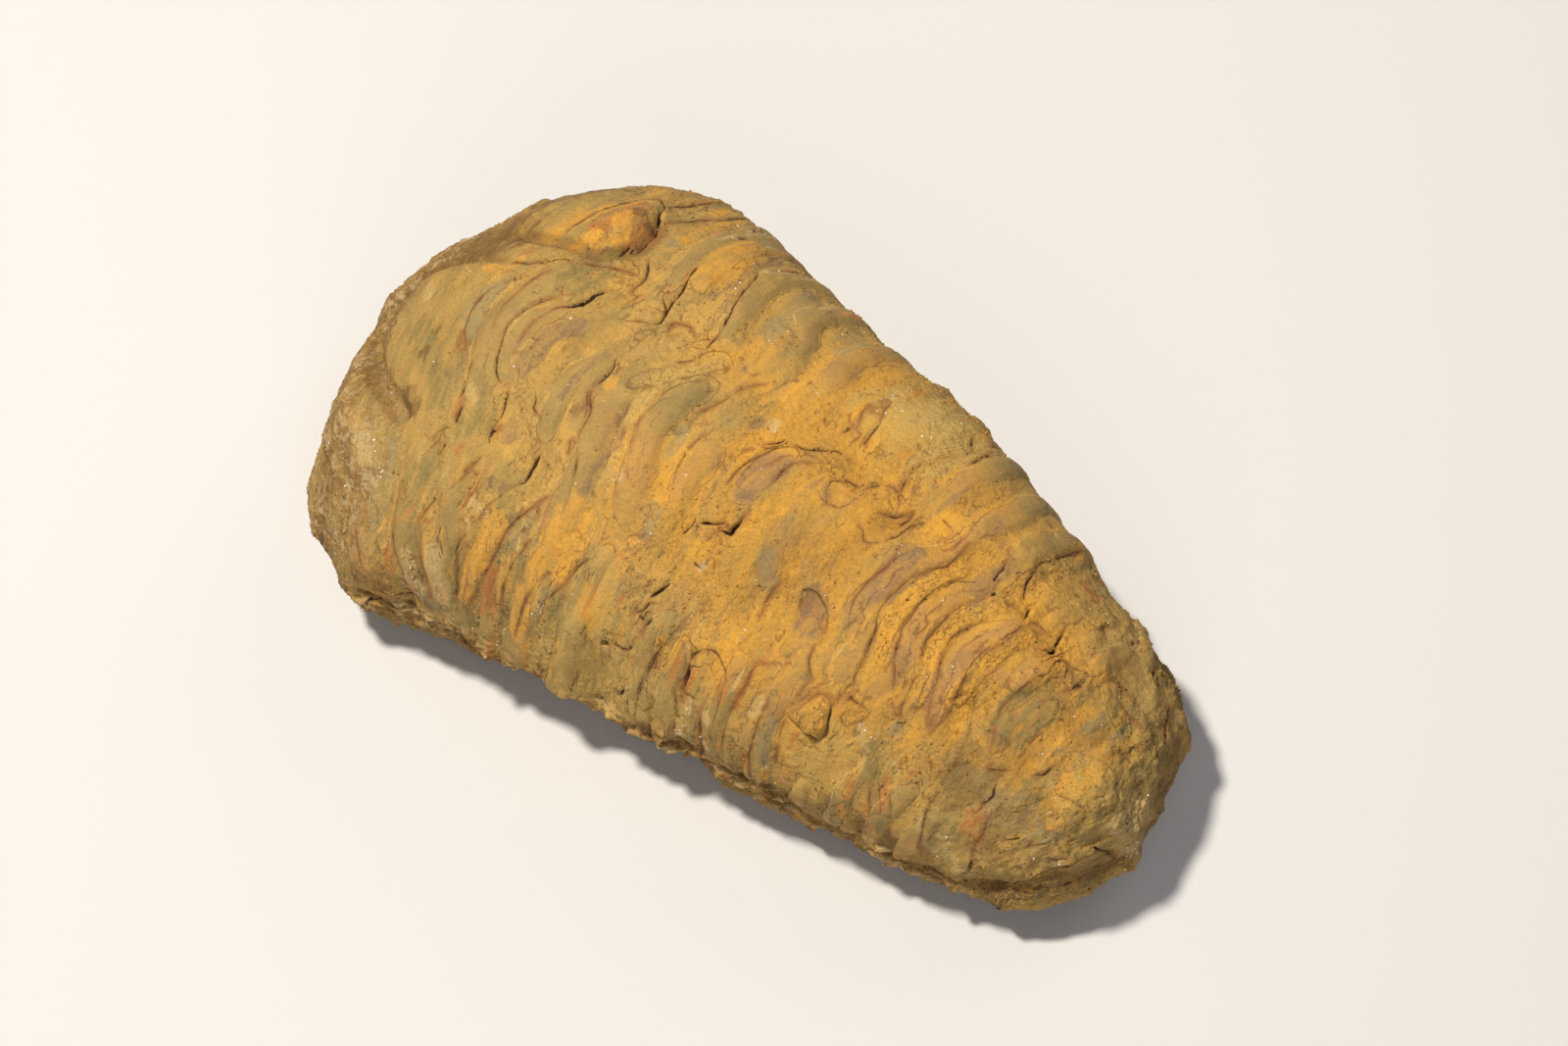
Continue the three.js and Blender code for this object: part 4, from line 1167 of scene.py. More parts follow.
def ledges(points, pattern, drawn_out, rough):
    """Thin beds that break off in ledges, drawn out along the ribs. Returns them and their rise."""
    beds = bumps(pattern, (1, 2.3, 3), (0.5, 0.9, 4)) + bumps(points, (0.25, 1.1, 5))
    beds = beds * drawn_out + bumps(points, (1, 5, 23), (0.4, 1.9, 24)) * (1 - drawn_out)
    layer = beds * LAYERS
    ledge = np.floor(layer) + easing(0, 0.16, layer - np.floor(layer))
    return layer, LEDGE_RISE * at_least(0.25, rough) * (ledge - layer)


def rib_streaks(points, pattern, rough):
    """Low ridges, streaks and cracks along the ribs."""
    streaks = bumps(pattern, (0.11, 1.5, 6), (0.05, 0.7, 7))
    streaks += bumps(pattern, (0.025, 0.33, 8)) * (0.3 + rough)
    cracks = crease(unevenness(pattern, 1.1, 17) + bumps(points, (0.3, 0.9, 18)), 9)
    return streaks - STREAK_CRACK * cracks * rough


def head_crust(points, p, q):
    """The head's border and cheeks are crusted over, and pocked where the crust came away."""
    cheeks = easing(0.3, 0.5, np.abs(q)) + easing(0.56, 0.7, -p)
    crusted = easing(0.42, 0.56, -p) * np.clip(cheeks, 0, 1)
    pocks = bumps(points, (0.15, 1.5, 48), (0.1, 0.7, 49))
    pocks -= 0.1 * crease(unevenness(points, 1.6, 50), 4)
    pocks += 0.08 * stepped(unevenness(points, 2.4, 51), 3)
    return crusted, crusted * pocks


def tail_breaks(points, tail):
    """Facets that meet in low ridges, with small sharp chips on them, and cracks over them."""
    facets = -0.75 * np.abs(unevenness(points, 5.5, 31)) - 0.3 * np.abs(unevenness(points, 2.4, 32))
    facets += 0.3 * stepped(bumps(points, (1, 3, 33), (0.4, 0.9, 34)), 3)
    facets += 0.13 * stepped(bumps(points, (1, 1.3, 52), (0.3, 0.5, 53)), 2.5)
    cracked = tail * crease(bumps(points, (1, 2.4, 56), (0.3, 0.8, 57)), 9)
    return tail * (facets + 0.28), cracked


def broken_places(points, p, q, below):
    """Where the matrix broke away in beds: low on the near flank, and round under the rim."""
    start = 0.9 + bumps(points, (0.05, 3, 38))
    broken = easing(0, 0.08, np.abs(q) - start)
    broken = broken * easing(-0.52, -0.42, p) * easing(0, 0.12, 0.62 - p)
    broken = np.where(q < 0, broken, broken * easing(0, 2, below))
    return broken * easing(0, 0.4, 0.9 + unevenness(points, 9, 25))


def broken_beds(points, broken, height):
    """Cuts the broken places into thin beds and notches, and returns the two."""
    lying = points * LYING_BEDS
    beds = bumps(lying, (0.7, 1.1, 26), (0.4, 0.5, 27))
    beds += bumps(points, (0.6, 2.2, 39), (0.5, 0.9, 28))
    notches = easing(0.15, 0.5, bumps(points, (1, 2.2, 43), (0.35, 0.8, 46)))
    height += broken * (0.55 * stepped(beds, 2.5) - 0.5 * notches - 0.05)
    thin_beds = 0.2 * stepped(unevenness(lying, 0.32, 54), 2)
    height += broken * (thin_beds + bumps(points, (0.14, 0.45, 55)))
    return beds, notches


def sink_pit(points, height):
    """Sinks the small round pit, and returns how much each point is in it."""
    near, off, _ = near_line(points, line_on_body([PIT]), FISSURE_REACH)
    height[near] -= PIT_DEPTH * np.exp(-((off / PIT_HALF) ** 4))
    pitted = np.zeros(len(points))
    pitted[near] = np.exp(-((off / PIT_RIM) ** 4))
    return pitted


def carved_height(points, normals, pattern, p, q, below, upper_index, lower_index):
    """The fine relief in millimetres, and the measures that the finish reads."""
    wobble = bumps(points, (0.09, 1.7, 1), (0.06, 0.6, 2))
    height = np.zeros(len(points))
    depth_in, headward, strip, clear = carve_bands(points, wobble, height)
    crust = raise_crusts(points, wobble, height)
    for values, lowest in ((height, 0.3), (depth_in, 1), (strip, 0), (clear, 1)):
        carried_down(values, lower_index, lowest)
    rough = 1 - 0.75 * easing(-0.05, 0.3, depth_in)
    coarse = np.maximum(strip, crust)
    rough = np.maximum(rough, coarse)
    tail = easing(0.42, 0.6, p)
    drawn_out = (1 - 0.8 * tail) * (1 - 0.6 * easing(0.5, 0.65, -p))
    layer, rise = ledges(points, pattern, drawn_out, rough)
    height += rise
    height += rib_streaks(points, pattern, rough) * drawn_out
    height += bumps(points, (0.13, 4.5, 9), (0.06, 1.8, 10))
    crumbs = bumps(points, (0.08, 0.8, 11), (0.05, 0.42, 12))
    crumbs *= 1 - 0.6 * worn_middle(p, q)
    crumbly = rough * easing(-0.2, 0.6, unevenness(points, 3.6, 19) + 0.8 * coarse)
    crusted, rise = head_crust(points, p, q)
    height += rise
    rise, cracked = tail_breaks(points, tail)
    height += rise
    height -= CRACK_DEPTH * cracked
    broken = broken_places(points, p, q, below)
    beds, notches = broken_beds(points, broken, height)
    crumbly = np.maximum(crumbly, broken)
    height += crumbs * (0.12 + crumbly) - 0.1 * crease(unevenness(points, 1, 20), 6) * crumbly
    height += flake_height(points, wobble)
    dust = fill_hollows(height, points, p, q, upper_index)
    height += swell_height(points) - FLUSH
    side, half_width = cut_fissures(points, normals, wobble * 0.6, height)
    # Painted shade: the lower flank is darkened from a little under the rim down, less so toward the
    # head.
    low_flank_shade = easing(0.6, 3, below) * (1 - 0.6 * easing(0.35, 0.5, -p))
    pitted = sink_pit(points, height)
    return height, {
        "band": depth_in,
        "headward": headward,
        "clear": clear,
        "strip": strip,
        "crust": crust,
        "dust": dust,
        "broken": broken * easing(0.1, -0.25, beds),
        "bedded": broken,
        # Painted shade on the lower flank and in the notches of the broken beds.
        "low": np.maximum(low_flank_shade, 0.4 * broken * notches),
        "layer": layer,
        "crumbly": crumbly,
        "fissure_side": side,
        "fissure_half": half_width,
        "pitted": pitted,
        "crusted": crusted,
        "chipped": tail,
        "cracked": cracked,
        "relief": height,
    }


def store(mesh, name, values):
    """Keeps a number for each point, which a material or a scatter can read by name."""
    layer = mesh.attributes.new(name, "FLOAT", "POINT")
    layer.data.foreach_set("value", np.asarray(values, np.float32))


def stone_places(count, upper_index, lower_index):
    """For each point its p and q, its way down from the rim, and whether it is underneath."""
    p, q, below, under = np.zeros((4, count))
    p[upper_index] = np.linspace(-1, 1, ROWS + 1)[:, None]
    q[upper_index] = np.linspace(-1, 1, COLUMNS + 1)[None, :]
    p[lower_index] = p[lower_index[0]]
    q[lower_index] = q[lower_index[0]]
    below[lower_index] = np.arange(len(lower_index))[:, None] / SKIRT_RINGS * SKIRT_DEPTH
    under[lower_index[SKIRT_RINGS:]] = 1
    under[-1] = 1
    return p, q, below, under


FOOT_SOFT_RINGS = 3  # rings above the flat where the fine relief is halved
BASE_WEAR = 0.35
BASE_FLAT = 0.05
FAR_RIM_LESS = 0.35  # the solid's lumps are taken back this much toward the far rim,
NEAR_RIB_LESS = 0.55  # and its ribs this much on each flank, where finer ones are carved
FAR_RIB_LESS = 0.6


def make_stone():
    points, quads, closing, upper_index, lower_index = plain_stone()
    mesh = mesh_of("trilobite_stone", points * MM, quads, closing)
    normals = outward(mesh, upper_index, lower_index)
    p, q, below, under = stone_places(len(points), upper_index, lower_index)
    pattern = pattern_places(p, q, below)
    broad, crest = solid_relief(points, normals, upper_index, lower_index)
    broad *= 1 - FAR_RIM_LESS * easing(0.6, 0.9, q)
    broad -= crest * (NEAR_RIB_LESS * easing(0.2, 0.45, -q) + FAR_RIB_LESS * easing(0.2, 0.45, q))
    fine, measures = carved_height(points, normals, pattern, p, q, below, upper_index, lower_index)
    lost = cut_facets(points, normals, broad, fine)
    fine -= lost
    hold = 1 - under
    hold[lower_index[SKIRT_RINGS - FOOT_SOFT_RINGS : SKIRT_RINGS]] *= 0.5
    placed = points + normals * (broad + fine * hold)[:, None]
    worn_base = BASE_WEAR * bumps(points, (1, 4, 14), (1, 1.5, 15)) - BASE_FLAT
    worn_base = np.clip(worn_base, 0, None)
    placed[:, 2] = np.where(under > 0, worn_base, np.maximum(placed[:, 2], 0))
    mesh.vertices.foreach_set("co", (placed * MM).astype(np.float32).ravel())
    measures["crest"] = crest
    measures["flank"] = easing(0.3, 0.6, np.abs(q)) * easing(0.5, 0.4, np.abs(p))
    measures["fresh"] = easing(0.05, 0.3, lost)
    measures["worn"] = worn_middle(p, q) + bumps(points, (0.3, 7, 16))
    for name, values in {**measures, **stain_masks(points, pattern)}.items():
        store(mesh, name, values)
    layer = mesh.attributes.new("pattern", "FLOAT_VECTOR", "POINT")
    layer.data.foreach_set("vector", pattern.astype(np.float32).ravel())
    mesh.update()
    return mesh


def put_in_scene(name, data):
    made = bpy.data.objects.new(name, data)
    bpy.context.scene.collection.objects.link(made)
    return made


def worked_out(thing):
    """The mesh that an object's modifiers give. The object itself is taken away."""
    graph = bpy.context.evaluated_depsgraph_get()
    mesh = bpy.data.meshes.new_from_object(thing.evaluated_get(graph))
    bpy.data.objects.remove(thing)
    return mesh


def thinned(mesh, most):
    """Fewer triangles where the stone is plain, as many as before along edges and fissures."""
    triangles = sum(len(face.vertices) - 2 for face in mesh.polygons)
    if triangles <= most:
        return mesh
    rough_cut = put_in_scene("rough_cut", mesh)
    modifier = rough_cut.modifiers.new("thin", "DECIMATE")
    modifier.ratio = most / triangles
    return worked_out(rough_cut)


def linear(colour):
    """A colour as the eye names it, 0 to 255, as the shader wants it."""
    shares = [part / 255 for part in colour]
    return (*[s / 12.92 if s <= 0.04045 else ((s + 0.055) / 1.055) ** 2.4 for s in shares], 1)


class Shading:
    """A material's node tree, with short calls for the few kinds of node used here."""

    def __init__(self, name):
        self.material = bpy.data.materials.new(name)
        self.material.use_nodes = True
        self.nodes = self.material.node_tree.nodes
        self.links = self.material.node_tree.links
        self.shader = self.nodes["Principled BSDF"].inputs
        self.colour = None

    def node(self, kind, **settings):
        made = self.nodes.new(kind)
        for name, value in settings.items():
            setattr(made, name, value)
        return made

    def join(self, source, socket):
        """Feeds a socket from a node's output, or sets it to a number or a colour."""
        if isinstance(source, tuple):
            socket.default_value = linear(source)
        elif hasattr(source, "is_output"):
            self.links.new(source, socket)
        else:
            socket.default_value = source

    def attribute(self, name):
        return self.node("ShaderNodeAttribute", attribute_name=name).outputs["Fac"]

    def noise(self, per_mm, detail=2, distortion=0, along_ribs=False, squash=None):
        """A cloudy pattern with this many clouds a millimetre, drawn out along the ribs or not."""
        noise = self.node("ShaderNodeTexNoise")
        if along_ribs:
            place = self.node("ShaderNodeAttribute", attribute_name="pattern").outputs["Vector"]
        else:
            place = self.node("ShaderNodeTexCoord").outputs["Object"]
        noise.inputs["Scale"].default_value = per_mm if along_ribs else per_mm / MM
        if squash:
            scaled = self.node("ShaderNodeVectorMath", operation="MULTIPLY")
            self.links.new(place, scaled.inputs[0])
            scaled.inputs[1].default_value = squash
            place = scaled.outputs["Vector"]
        self.links.new(place, noise.inputs["Vector"])
        noise.inputs["Detail"].default_value = detail
        noise.inputs["Distortion"].default_value = distortion
        return noise.outputs["Fac"]

    def sums(self, operation, first, *others):
        """Arithmetic with two values, or with more of them in turn."""
        for other in others:
            maths = self.node("ShaderNodeMath", operation=operation)
            self.join(first, maths.inputs[0])
            self.join(other, maths.inputs[1])
            first = maths.outputs[0]
        return first

    def plus(self, *values):
        return self.sums("ADD", *values)

    def minus(self, *values):
        return self.sums("SUBTRACT", *values)

    def times(self, *values):
        return self.sums("MULTIPLY", *values)

    def most(self, *values):
        return self.sums("MAXIMUM", *values)

    def without_sign(self, value):
        return self.sums("ABSOLUTE", value, 0)

    def ramp(self, value, start, full, out_start=0, out_full=1):
        """A smooth rise or fall from one number to another, while a value passes from start to full."""
        ramp = self.node("ShaderNodeMapRange", interpolation_type="SMOOTHSTEP")
        self.join(value, ramp.inputs["Value"])
        for name, number in (
            ("From Min", start), ("From Max", full), ("To Min", out_start), ("To Max", out_full),
        ):
            ramp.inputs[name].default_value = number
        return ramp.outputs["Result"]

    def mix(self, share, below, above, blend="MIX"):
        mix = self.node("ShaderNodeMix", data_type="RGBA", blend_type=blend)
        for value, place in ((share, 0), (below, 6), (above, 7)):
            self.join(value, mix.inputs[place])
        return mix.outputs[2]

    def coat(self, share, shade):
        """Lays a shade over the colour so far."""
        self.colour = self.mix(share, self.colour, shade)

    def patches(self, where, kinds):
        """Lays patches in one place. Each kind has its clouds a millimetre, their detail, their
        twist, whether they run along the ribs, their start and full, strength and shade."""
        for per_mm, detail, distortion, along_ribs, start, full, strength, shade in kinds:
            cloud = self.noise(per_mm, detail, distortion, along_ribs)
            self.coat(self.times(where, self.ramp(cloud, start, full, 0, strength)), shade)


OCHRE = (196, 144, 58)
OCHRE_BRIGHT = (216, 157, 58)
BUFF = (174, 141, 76)
TAN = (170, 137, 74)
OLIVE = (148, 126, 70)
SHELL_TAN = (186, 136, 68)
SHELL_VIOLET = (160, 124, 76)
STRIP_GREY = (148, 124, 82)
VIOLET_GREY = (148, 120, 82)
RUST = (198, 122, 48)
PALE_EDGE = (214, 182, 114)
SAND = (196, 154, 78)
OLIVE_GREY = (140, 120, 74)
FRESH = (178, 143, 80)
# Painted shade for the lower flank and the notches of its broken beds.
LOW_FLANK_SHADE = (138, 106, 62)
# A dark brown for the stone's own dark flecks and beds, and for painted shade in hollows, over broken
# beds and at fissure lips.
DARK_FLECK_AND_SHADE = (106, 70, 32)
RIND = (146, 96, 52)
CRUST_BROWN = (134, 98, 56)
CRUST_PALE = (190, 166, 122)
BED_PALE = (196, 162, 108)
BED_SQUASH = (0.5, 0.5, 2.2)  # thin beds lie level, so their pattern is pressed flat
TINTS = {
    "olive": (134, 116, 66),
    "grey": (154, 134, 90),
    "pink": (182, 136, 76),
    "violet": (138, 108, 76),
    "rust": (178, 114, 56),
    "brown": (120, 88, 48),
    "pale": (200, 169, 112),
    "bright": (212, 154, 60),
    "sand": (190, 156, 84),
}
# Painted shade, nearly black, inside the fissures and the pit.
FISSURE_SHADE = (50, 28, 12)
OUTLINE_DARK = (106, 68, 36)
SILT_DARK = (234, 230, 222)
SILT_PALE = (222, 192, 132)
WHITE = (255, 255, 255)
FLANK_PATCHES = (
    (0.65, 4, 0.4, True, 0.56, 0.66, 0.7, OCHRE_BRIGHT),
    (0.9, 4, 0.4, True, 0.57, 0.66, 0.6, RUST),
    (0.75, 4, 0.4, True, 0.57, 0.68, 0.7, OLIVE_GREY),
    (1.2, 4, 0.4, True, 0.6, 0.7, 0.55, PALE_EDGE),
)
CRUST_PATCHES = (
    (0.5, 6, 0.6, False, 0.45, 0.6, 0.7, CRUST_BROWN),
    (1, 5, 0.5, False, 0.54, 0.61, 0.75, CRUST_PALE),
    (2.2, 5, 0.5, False, 0.56, 0.63, 0.6, CRUST_PALE),
    (2, 5, 0.5, False, 0.58, 0.66, 0.6, DARK_FLECK_AND_SHADE),
)
CHIP_PATCHES = (
    (0.4, 6, 0.4, False, 0.5, 0.62, 0.6, OLIVE_GREY),
    (1.7, 6, 0.4, False, 0.58, 0.66, 0.5, DARK_FLECK_AND_SHADE),
    (1.3, 6, 0.4, False, 0.6, 0.7, 0.5, OCHRE_BRIGHT),
)
GRAIN_BUMP = 0.3 * MM


def shared_patterns(look):
    """The patterns and measures that several parts of the stone's finish read."""
    on = SimpleNamespace()
    on.ragged = look.minus(look.noise(1.3, 5, 0.3), 0.5)
    on.streaky = look.minus(look.noise(0.8, 4, 0.4, True), 0.5)
    on.speckle = look.noise(3.2, 4)
    on.beds = look.noise(1, 6, 0.4, squash=BED_SQUASH)
    on.band = look.plus(look.attribute("band"), look.times(on.ragged, 0.4))
    on.inside = look.ramp(on.band, -0.1, 0.35)
    on.crest = look.plus(look.attribute("crest"), look.times(on.streaky, 1.2))
    on.worn = look.ramp(look.attribute("worn"), 0.15, 0.75)
    on.dust = look.plus(look.attribute("dust"), look.times(on.ragged, 0.1))
    on.dusty = look.ramp(on.dust, 0, 0.05)
    on.smooth = look.most(on.inside, on.dusty)
    for name in ("flank", "crust", "crusted", "chipped", "broken", "bedded"):
        setattr(on, name, look.attribute(name))
    return on


def lay_ground(look, on):
    """The ochre itself, in streaks along the ribs: bright dust in the furrows, tan and olive on
    the crests, a little violet-grey and rust."""
    look.colour = look.mix(on.worn, BUFF, OCHRE)
    hollow = look.times(look.ramp(on.crest, -0.4, 0.1, 0.6, 0), look.ramp(on.worn, 0, 1, 0.45, 1))
    look.coat(hollow, OCHRE_BRIGHT)
    look.coat(look.ramp(look.noise(0.4, 5, 0.3, True), 0.46, 0.68, 0, 0.7), TAN)
    olive = look.times(
        look.ramp(look.noise(0.28, 5, 0.2, True), 0.42, 0.64),
        look.ramp(on.crest, -0.3, 0.2, 0.1, 1),
        look.ramp(on.worn, 0, 1, 0.75, 0.25),
    )
    look.coat(olive, OLIVE)
    shell = look.mix(look.ramp(look.noise(0.17, 3), 0.42, 0.6), SHELL_TAN, SHELL_VIOLET)
    shell = look.mix(look.ramp(on.worn, 0, 1, 0.8, 0), shell, OLIVE)
    clear = look.ramp(look.noise(0.3, 5, 0.4), 0.38, 0.6, 0.15, 0.9)
    look.coat(look.times(on.inside, clear, look.attribute("clear")), shell)
    crusty = look.times(on.crust, look.ramp(on.speckle, 0.35, 0.6, 0.1, 0.7))
    look.coat(crusty, look.mix(on.worn, BUFF, OCHRE_BRIGHT))
    look.coat(look.ramp(look.noise(0.9, 4, 0.5, True), 0.58, 0.72, 0, 0.6), VIOLET_GREY)
    look.coat(look.ramp(look.noise(0.6, 5, 0.8), 0.63, 0.76, 0, 0.5), RUST)
    look.coat(look.ramp(look.noise(2.2, 5, 0.4), 0.56, 0.7, 0, 0.4), RUST)
    look.coat(look.ramp(look.noise(1.6, 6, 0.4), 0.36, 0.44, 0.25, 0), VIOLET_GREY)
    look.patches(on.flank, FLANK_PATCHES)
    strip = look.times(
        look.attribute("strip"),
        look.ramp(on.speckle, 0.35, 0.6, 0.15, 0.9),
        look.ramp(look.noise(0.16, 3), 0.42, 0.6, 0.25, 0.95),
    )
    look.coat(strip, STRIP_GREY)


def lay_tints(look, on):
    """The stains, the crusted head, the chipped tail and fresh breaks, then dust over them."""
    mottle = look.times(
        look.ramp(look.noise(0.9, 5, 0.6), 0.36, 0.6, 0.75, 1),
        look.ramp(look.noise(1.5, 5, 0.5, True), 0.38, 0.58, 0.45, 1),
    )
    for tint, shade in TINTS.items():
        place = look.attribute(tint)
        level = look.plus(place, look.times(on.streaky, 1.8), look.times(on.ragged, 1.2))
        share = look.times(
            look.ramp(level, 0.2, 1),
            look.ramp(on.speckle, 0.3, 0.6, 0.75, 1),
            look.ramp(place, 0, 0.4),
            mottle,
        )
        look.coat(share, shade)
    look.patches(on.crusted, CRUST_PATCHES)
    look.patches(on.chipped, CHIP_PATCHES)
    cloud = look.ramp(look.noise(0.5, 5, 0.4), 0.4, 0.6, 0.2, 0.85)
    look.coat(look.times(look.attribute("fresh"), cloud), FRESH)
    unstained = look.ramp(look.attribute("stained"), 0.3, 1, 1, 0.3)
    cloud = look.ramp(look.noise(1.1, 5, 0.5), 0.36, 0.6, 0.75, 0.35)
    look.coat(look.times(on.dusty, unstained, cloud), look.mix(on.worn, SAND, OCHRE_BRIGHT))


def draw_edges(look, on):
    """Thin lines where a layer of the shell ends: pale on some edges to the head, else brown."""
    choice = look.noise(0.3, 3)
    line = look.ramp(look.without_sign(look.plus(on.band, 0.03)), 0.02, 0.08, 1, 0)
    brown_line = look.times(line, look.ramp(choice, 0.5, 0.58, 0, 0.6))
    pale_line = look.times(line, look.ramp(choice, 0.42, 0.48, 0.5, 0), look.attribute("headward"))
    look.coat(pale_line, PALE_EDGE)
    layer = look.sums("FRACT", look.plus(look.attribute("layer"), look.times(on.ragged, 0.3)), 0)
    ledge = look.times(
        look.ramp(layer, 0.02, 0.1, 1, 0),
        look.ramp(look.noise(0.3, 5), 0.52, 0.64, 0, 0.6),
        look.ramp(on.smooth, 0, 1, 1, 0),
    )
    streak = look.without_sign(look.minus(look.noise(0.85, 4, 0.3, True), 0.5))
    streak = look.times(
        look.ramp(streak, 0.004, 0.014, 0.8, 0),
        look.ramp(look.noise(0.35, 4), 0.46, 0.56),
        on.flank,
        look.ramp(on.dusty, 0, 1, 1, 0.3),
    )
    crust_edge = look.ramp(look.without_sign(look.minus(on.crust, 0.35)), 0.1, 0.35, 0.5, 0)
    crust_edge = look.times(crust_edge, look.ramp(choice, 0.44, 0.54))
    shore = look.ramp(look.without_sign(look.plus(on.dust, 0.02)), 0.005, 0.025, 0.5, 0)
    shore = look.times(shore, look.ramp(look.noise(0.5, 4), 0.5, 0.6))
    look.coat(look.most(brown_line, ledge, crust_edge, shore, streak), OUTLINE_DARK)


def darken_hollows(look, on):
    """Painted shade in the deepest hollows and over the broken beds, darker specks between the crumbs
    and along the tail's cracks, pale and dark beds, and painted shade on the lower flank.
    """
    # Painted shade over the broken beds under the rim; also darker specks between the crumbs and along
    # the tail's cracks.
    crumb_and_break_shade = look.most(
        look.times(look.attribute("crumbly"), look.ramp(on.speckle, 0.32, 0.5, 0.3, 0)),
        look.times(on.broken, 0.6),
        look.ramp(look.attribute("cracked"), 0.5, 1, 0, 0.6),
    )
    look.coat(crumb_and_break_shade, DARK_FLECK_AND_SHADE)
    for pattern, start, full, strength, shade in (
        (on.beds, 0.49, 0.57, 0.85, BED_PALE),
        (on.beds, 0.46, 0.39, 0.65, DARK_FLECK_AND_SHADE),
        (look.noise(0.8, 5, 0.4), 0.56, 0.66, 0.5, RIND),
    ):
        look.coat(look.times(on.bedded, look.ramp(pattern, start, full, 0, strength)), shade)
    # Painted shade over the lower flank and in the notches of the broken beds.
    cloud = look.ramp(look.noise(0.6, 5), 0.35, 0.65, 0.7, 0.35)
    look.coat(look.times(look.attribute("low"), cloud), LOW_FLANK_SHADE)
    # Painted shade: darker where the carved relief lies deepest.
    look.coat(look.ramp(look.attribute("relief"), -0.6, -0.25, 0.4, 0), DARK_FLECK_AND_SHADE)


def darken_fissures(look, on):
    """A rusty rind beside the fissures, then painted shade: darker lips, and nearly black inside the
    fissures and the pit.
    """
    half = look.attribute("fissure_half")
    side = look.plus(look.attribute("fissure_side"), look.times(on.ragged, 0.24))
    side = look.without_sign(side)
    open_way = look.minus(half, side)
    rind = look.times(
        look.ramp(side, 0.05, 0.45, 0.65, 0),
        look.ramp(half, 0.035, 0.06, 1, 0.2),
        look.ramp(look.noise(0.4, 4), 0.42, 0.56),
    )
    look.coat(rind, RIND)
    # Painted shade at the fissures' lips.
    lip_shade = look.times(look.ramp(open_way, -0.16, 0.02, 0, 0.55), look.ramp(half, 0.01, 0.06))
    look.coat(lip_shade, DARK_FLECK_AND_SHADE)
    # Painted shade inside the fissures and the pit, nearly black.
    fissure_shade = look.times(look.ramp(open_way, -0.03, 0.02), look.ramp(half, 0.02, 0.07, 0.28, 0.95))
    pit = look.ramp(look.attribute("pitted"), 0.3, 0.9, 0, 0.8)
    look.coat(look.most(fissure_shade, pit), FISSURE_SHADE)


def lay_grain(look, on):
    """Specks of darker and paler silt, and the grain's bumps, weaker where the stone is smooth."""
    fleck = look.mix(look.ramp(look.noise(5, 4), 0.36, 0.6), SILT_DARK, WHITE)
    look.colour = look.mix(0.8, look.colour, fleck, "MULTIPLY")
    look.coat(look.ramp(look.noise(2.2, 3), 0.66, 0.8, 0, 0.35), SILT_PALE)
    bump = look.node("ShaderNodeBump")
    strength = look.most(
        look.ramp(on.smooth, 0, 1, 0.75, 0.34),
        look.ramp(on.broken, 0, 0.5),
        look.times(on.crusted, 0.8),
        on.chipped,
    )
    fine = look.plus(
        look.noise(1.8, 7),
        look.times(look.noise(1.2, 6, 0, True), 0.6),
        look.times(on.beds, on.bedded),
    )
    look.join(GRAIN_BUMP, bump.inputs["Distance"])
    look.join(strength, bump.inputs["Strength"])
    look.join(fine, bump.inputs["Height"])
    look.join(bump.outputs["Normal"], look.shader["Normal"])


def stone_finish():
    look = Shading("ochre_siltstone")
    on = shared_patterns(look)
    for layer in (lay_ground, lay_tints, draw_edges, darken_hollows, darken_fissures, lay_grain):
        layer(look, on)
    look.join(look.colour, look.shader["Base Color"])
    look.join(look.ramp(on.inside, 0, 1, 0.93, 0.8), look.shader["Roughness"])
    look.join(0.3, look.shader["Specular IOR Level"])
    return look.material


stone_mesh = make_stone()
if FINE:
    stone_mesh = thinned(stone_mesh, MOST_TRIANGLES)
stone_mesh.materials.clear()
stone_mesh.materials.append(stone_finish())
stone_mesh.shade_smooth()
stone = put_in_scene("trilobite_stone", stone_mesh)
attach(stone, "root")
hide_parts("trilobite_fossil")

# =====================================================================================
# Loose grains of siltstone cling to the crumbly ground, and small clear crystals of
# calcite sparkle on the pale and tinted places. Both are scattered by one node tree.
# =====================================================================================

SPARKLING_TINTS = {"violet": 0.3, "grey": 0.3, "pale": 1, "pink": 0.3}
SPARKLE_EVERYWHERE = 0.015
SPARKLE_MOST = 0.8
CALCITE_PALE = (236, 230, 216)
GRAIN_SEED = 4
CRYSTAL_SEED = 9
FULL_TURN = 6.3


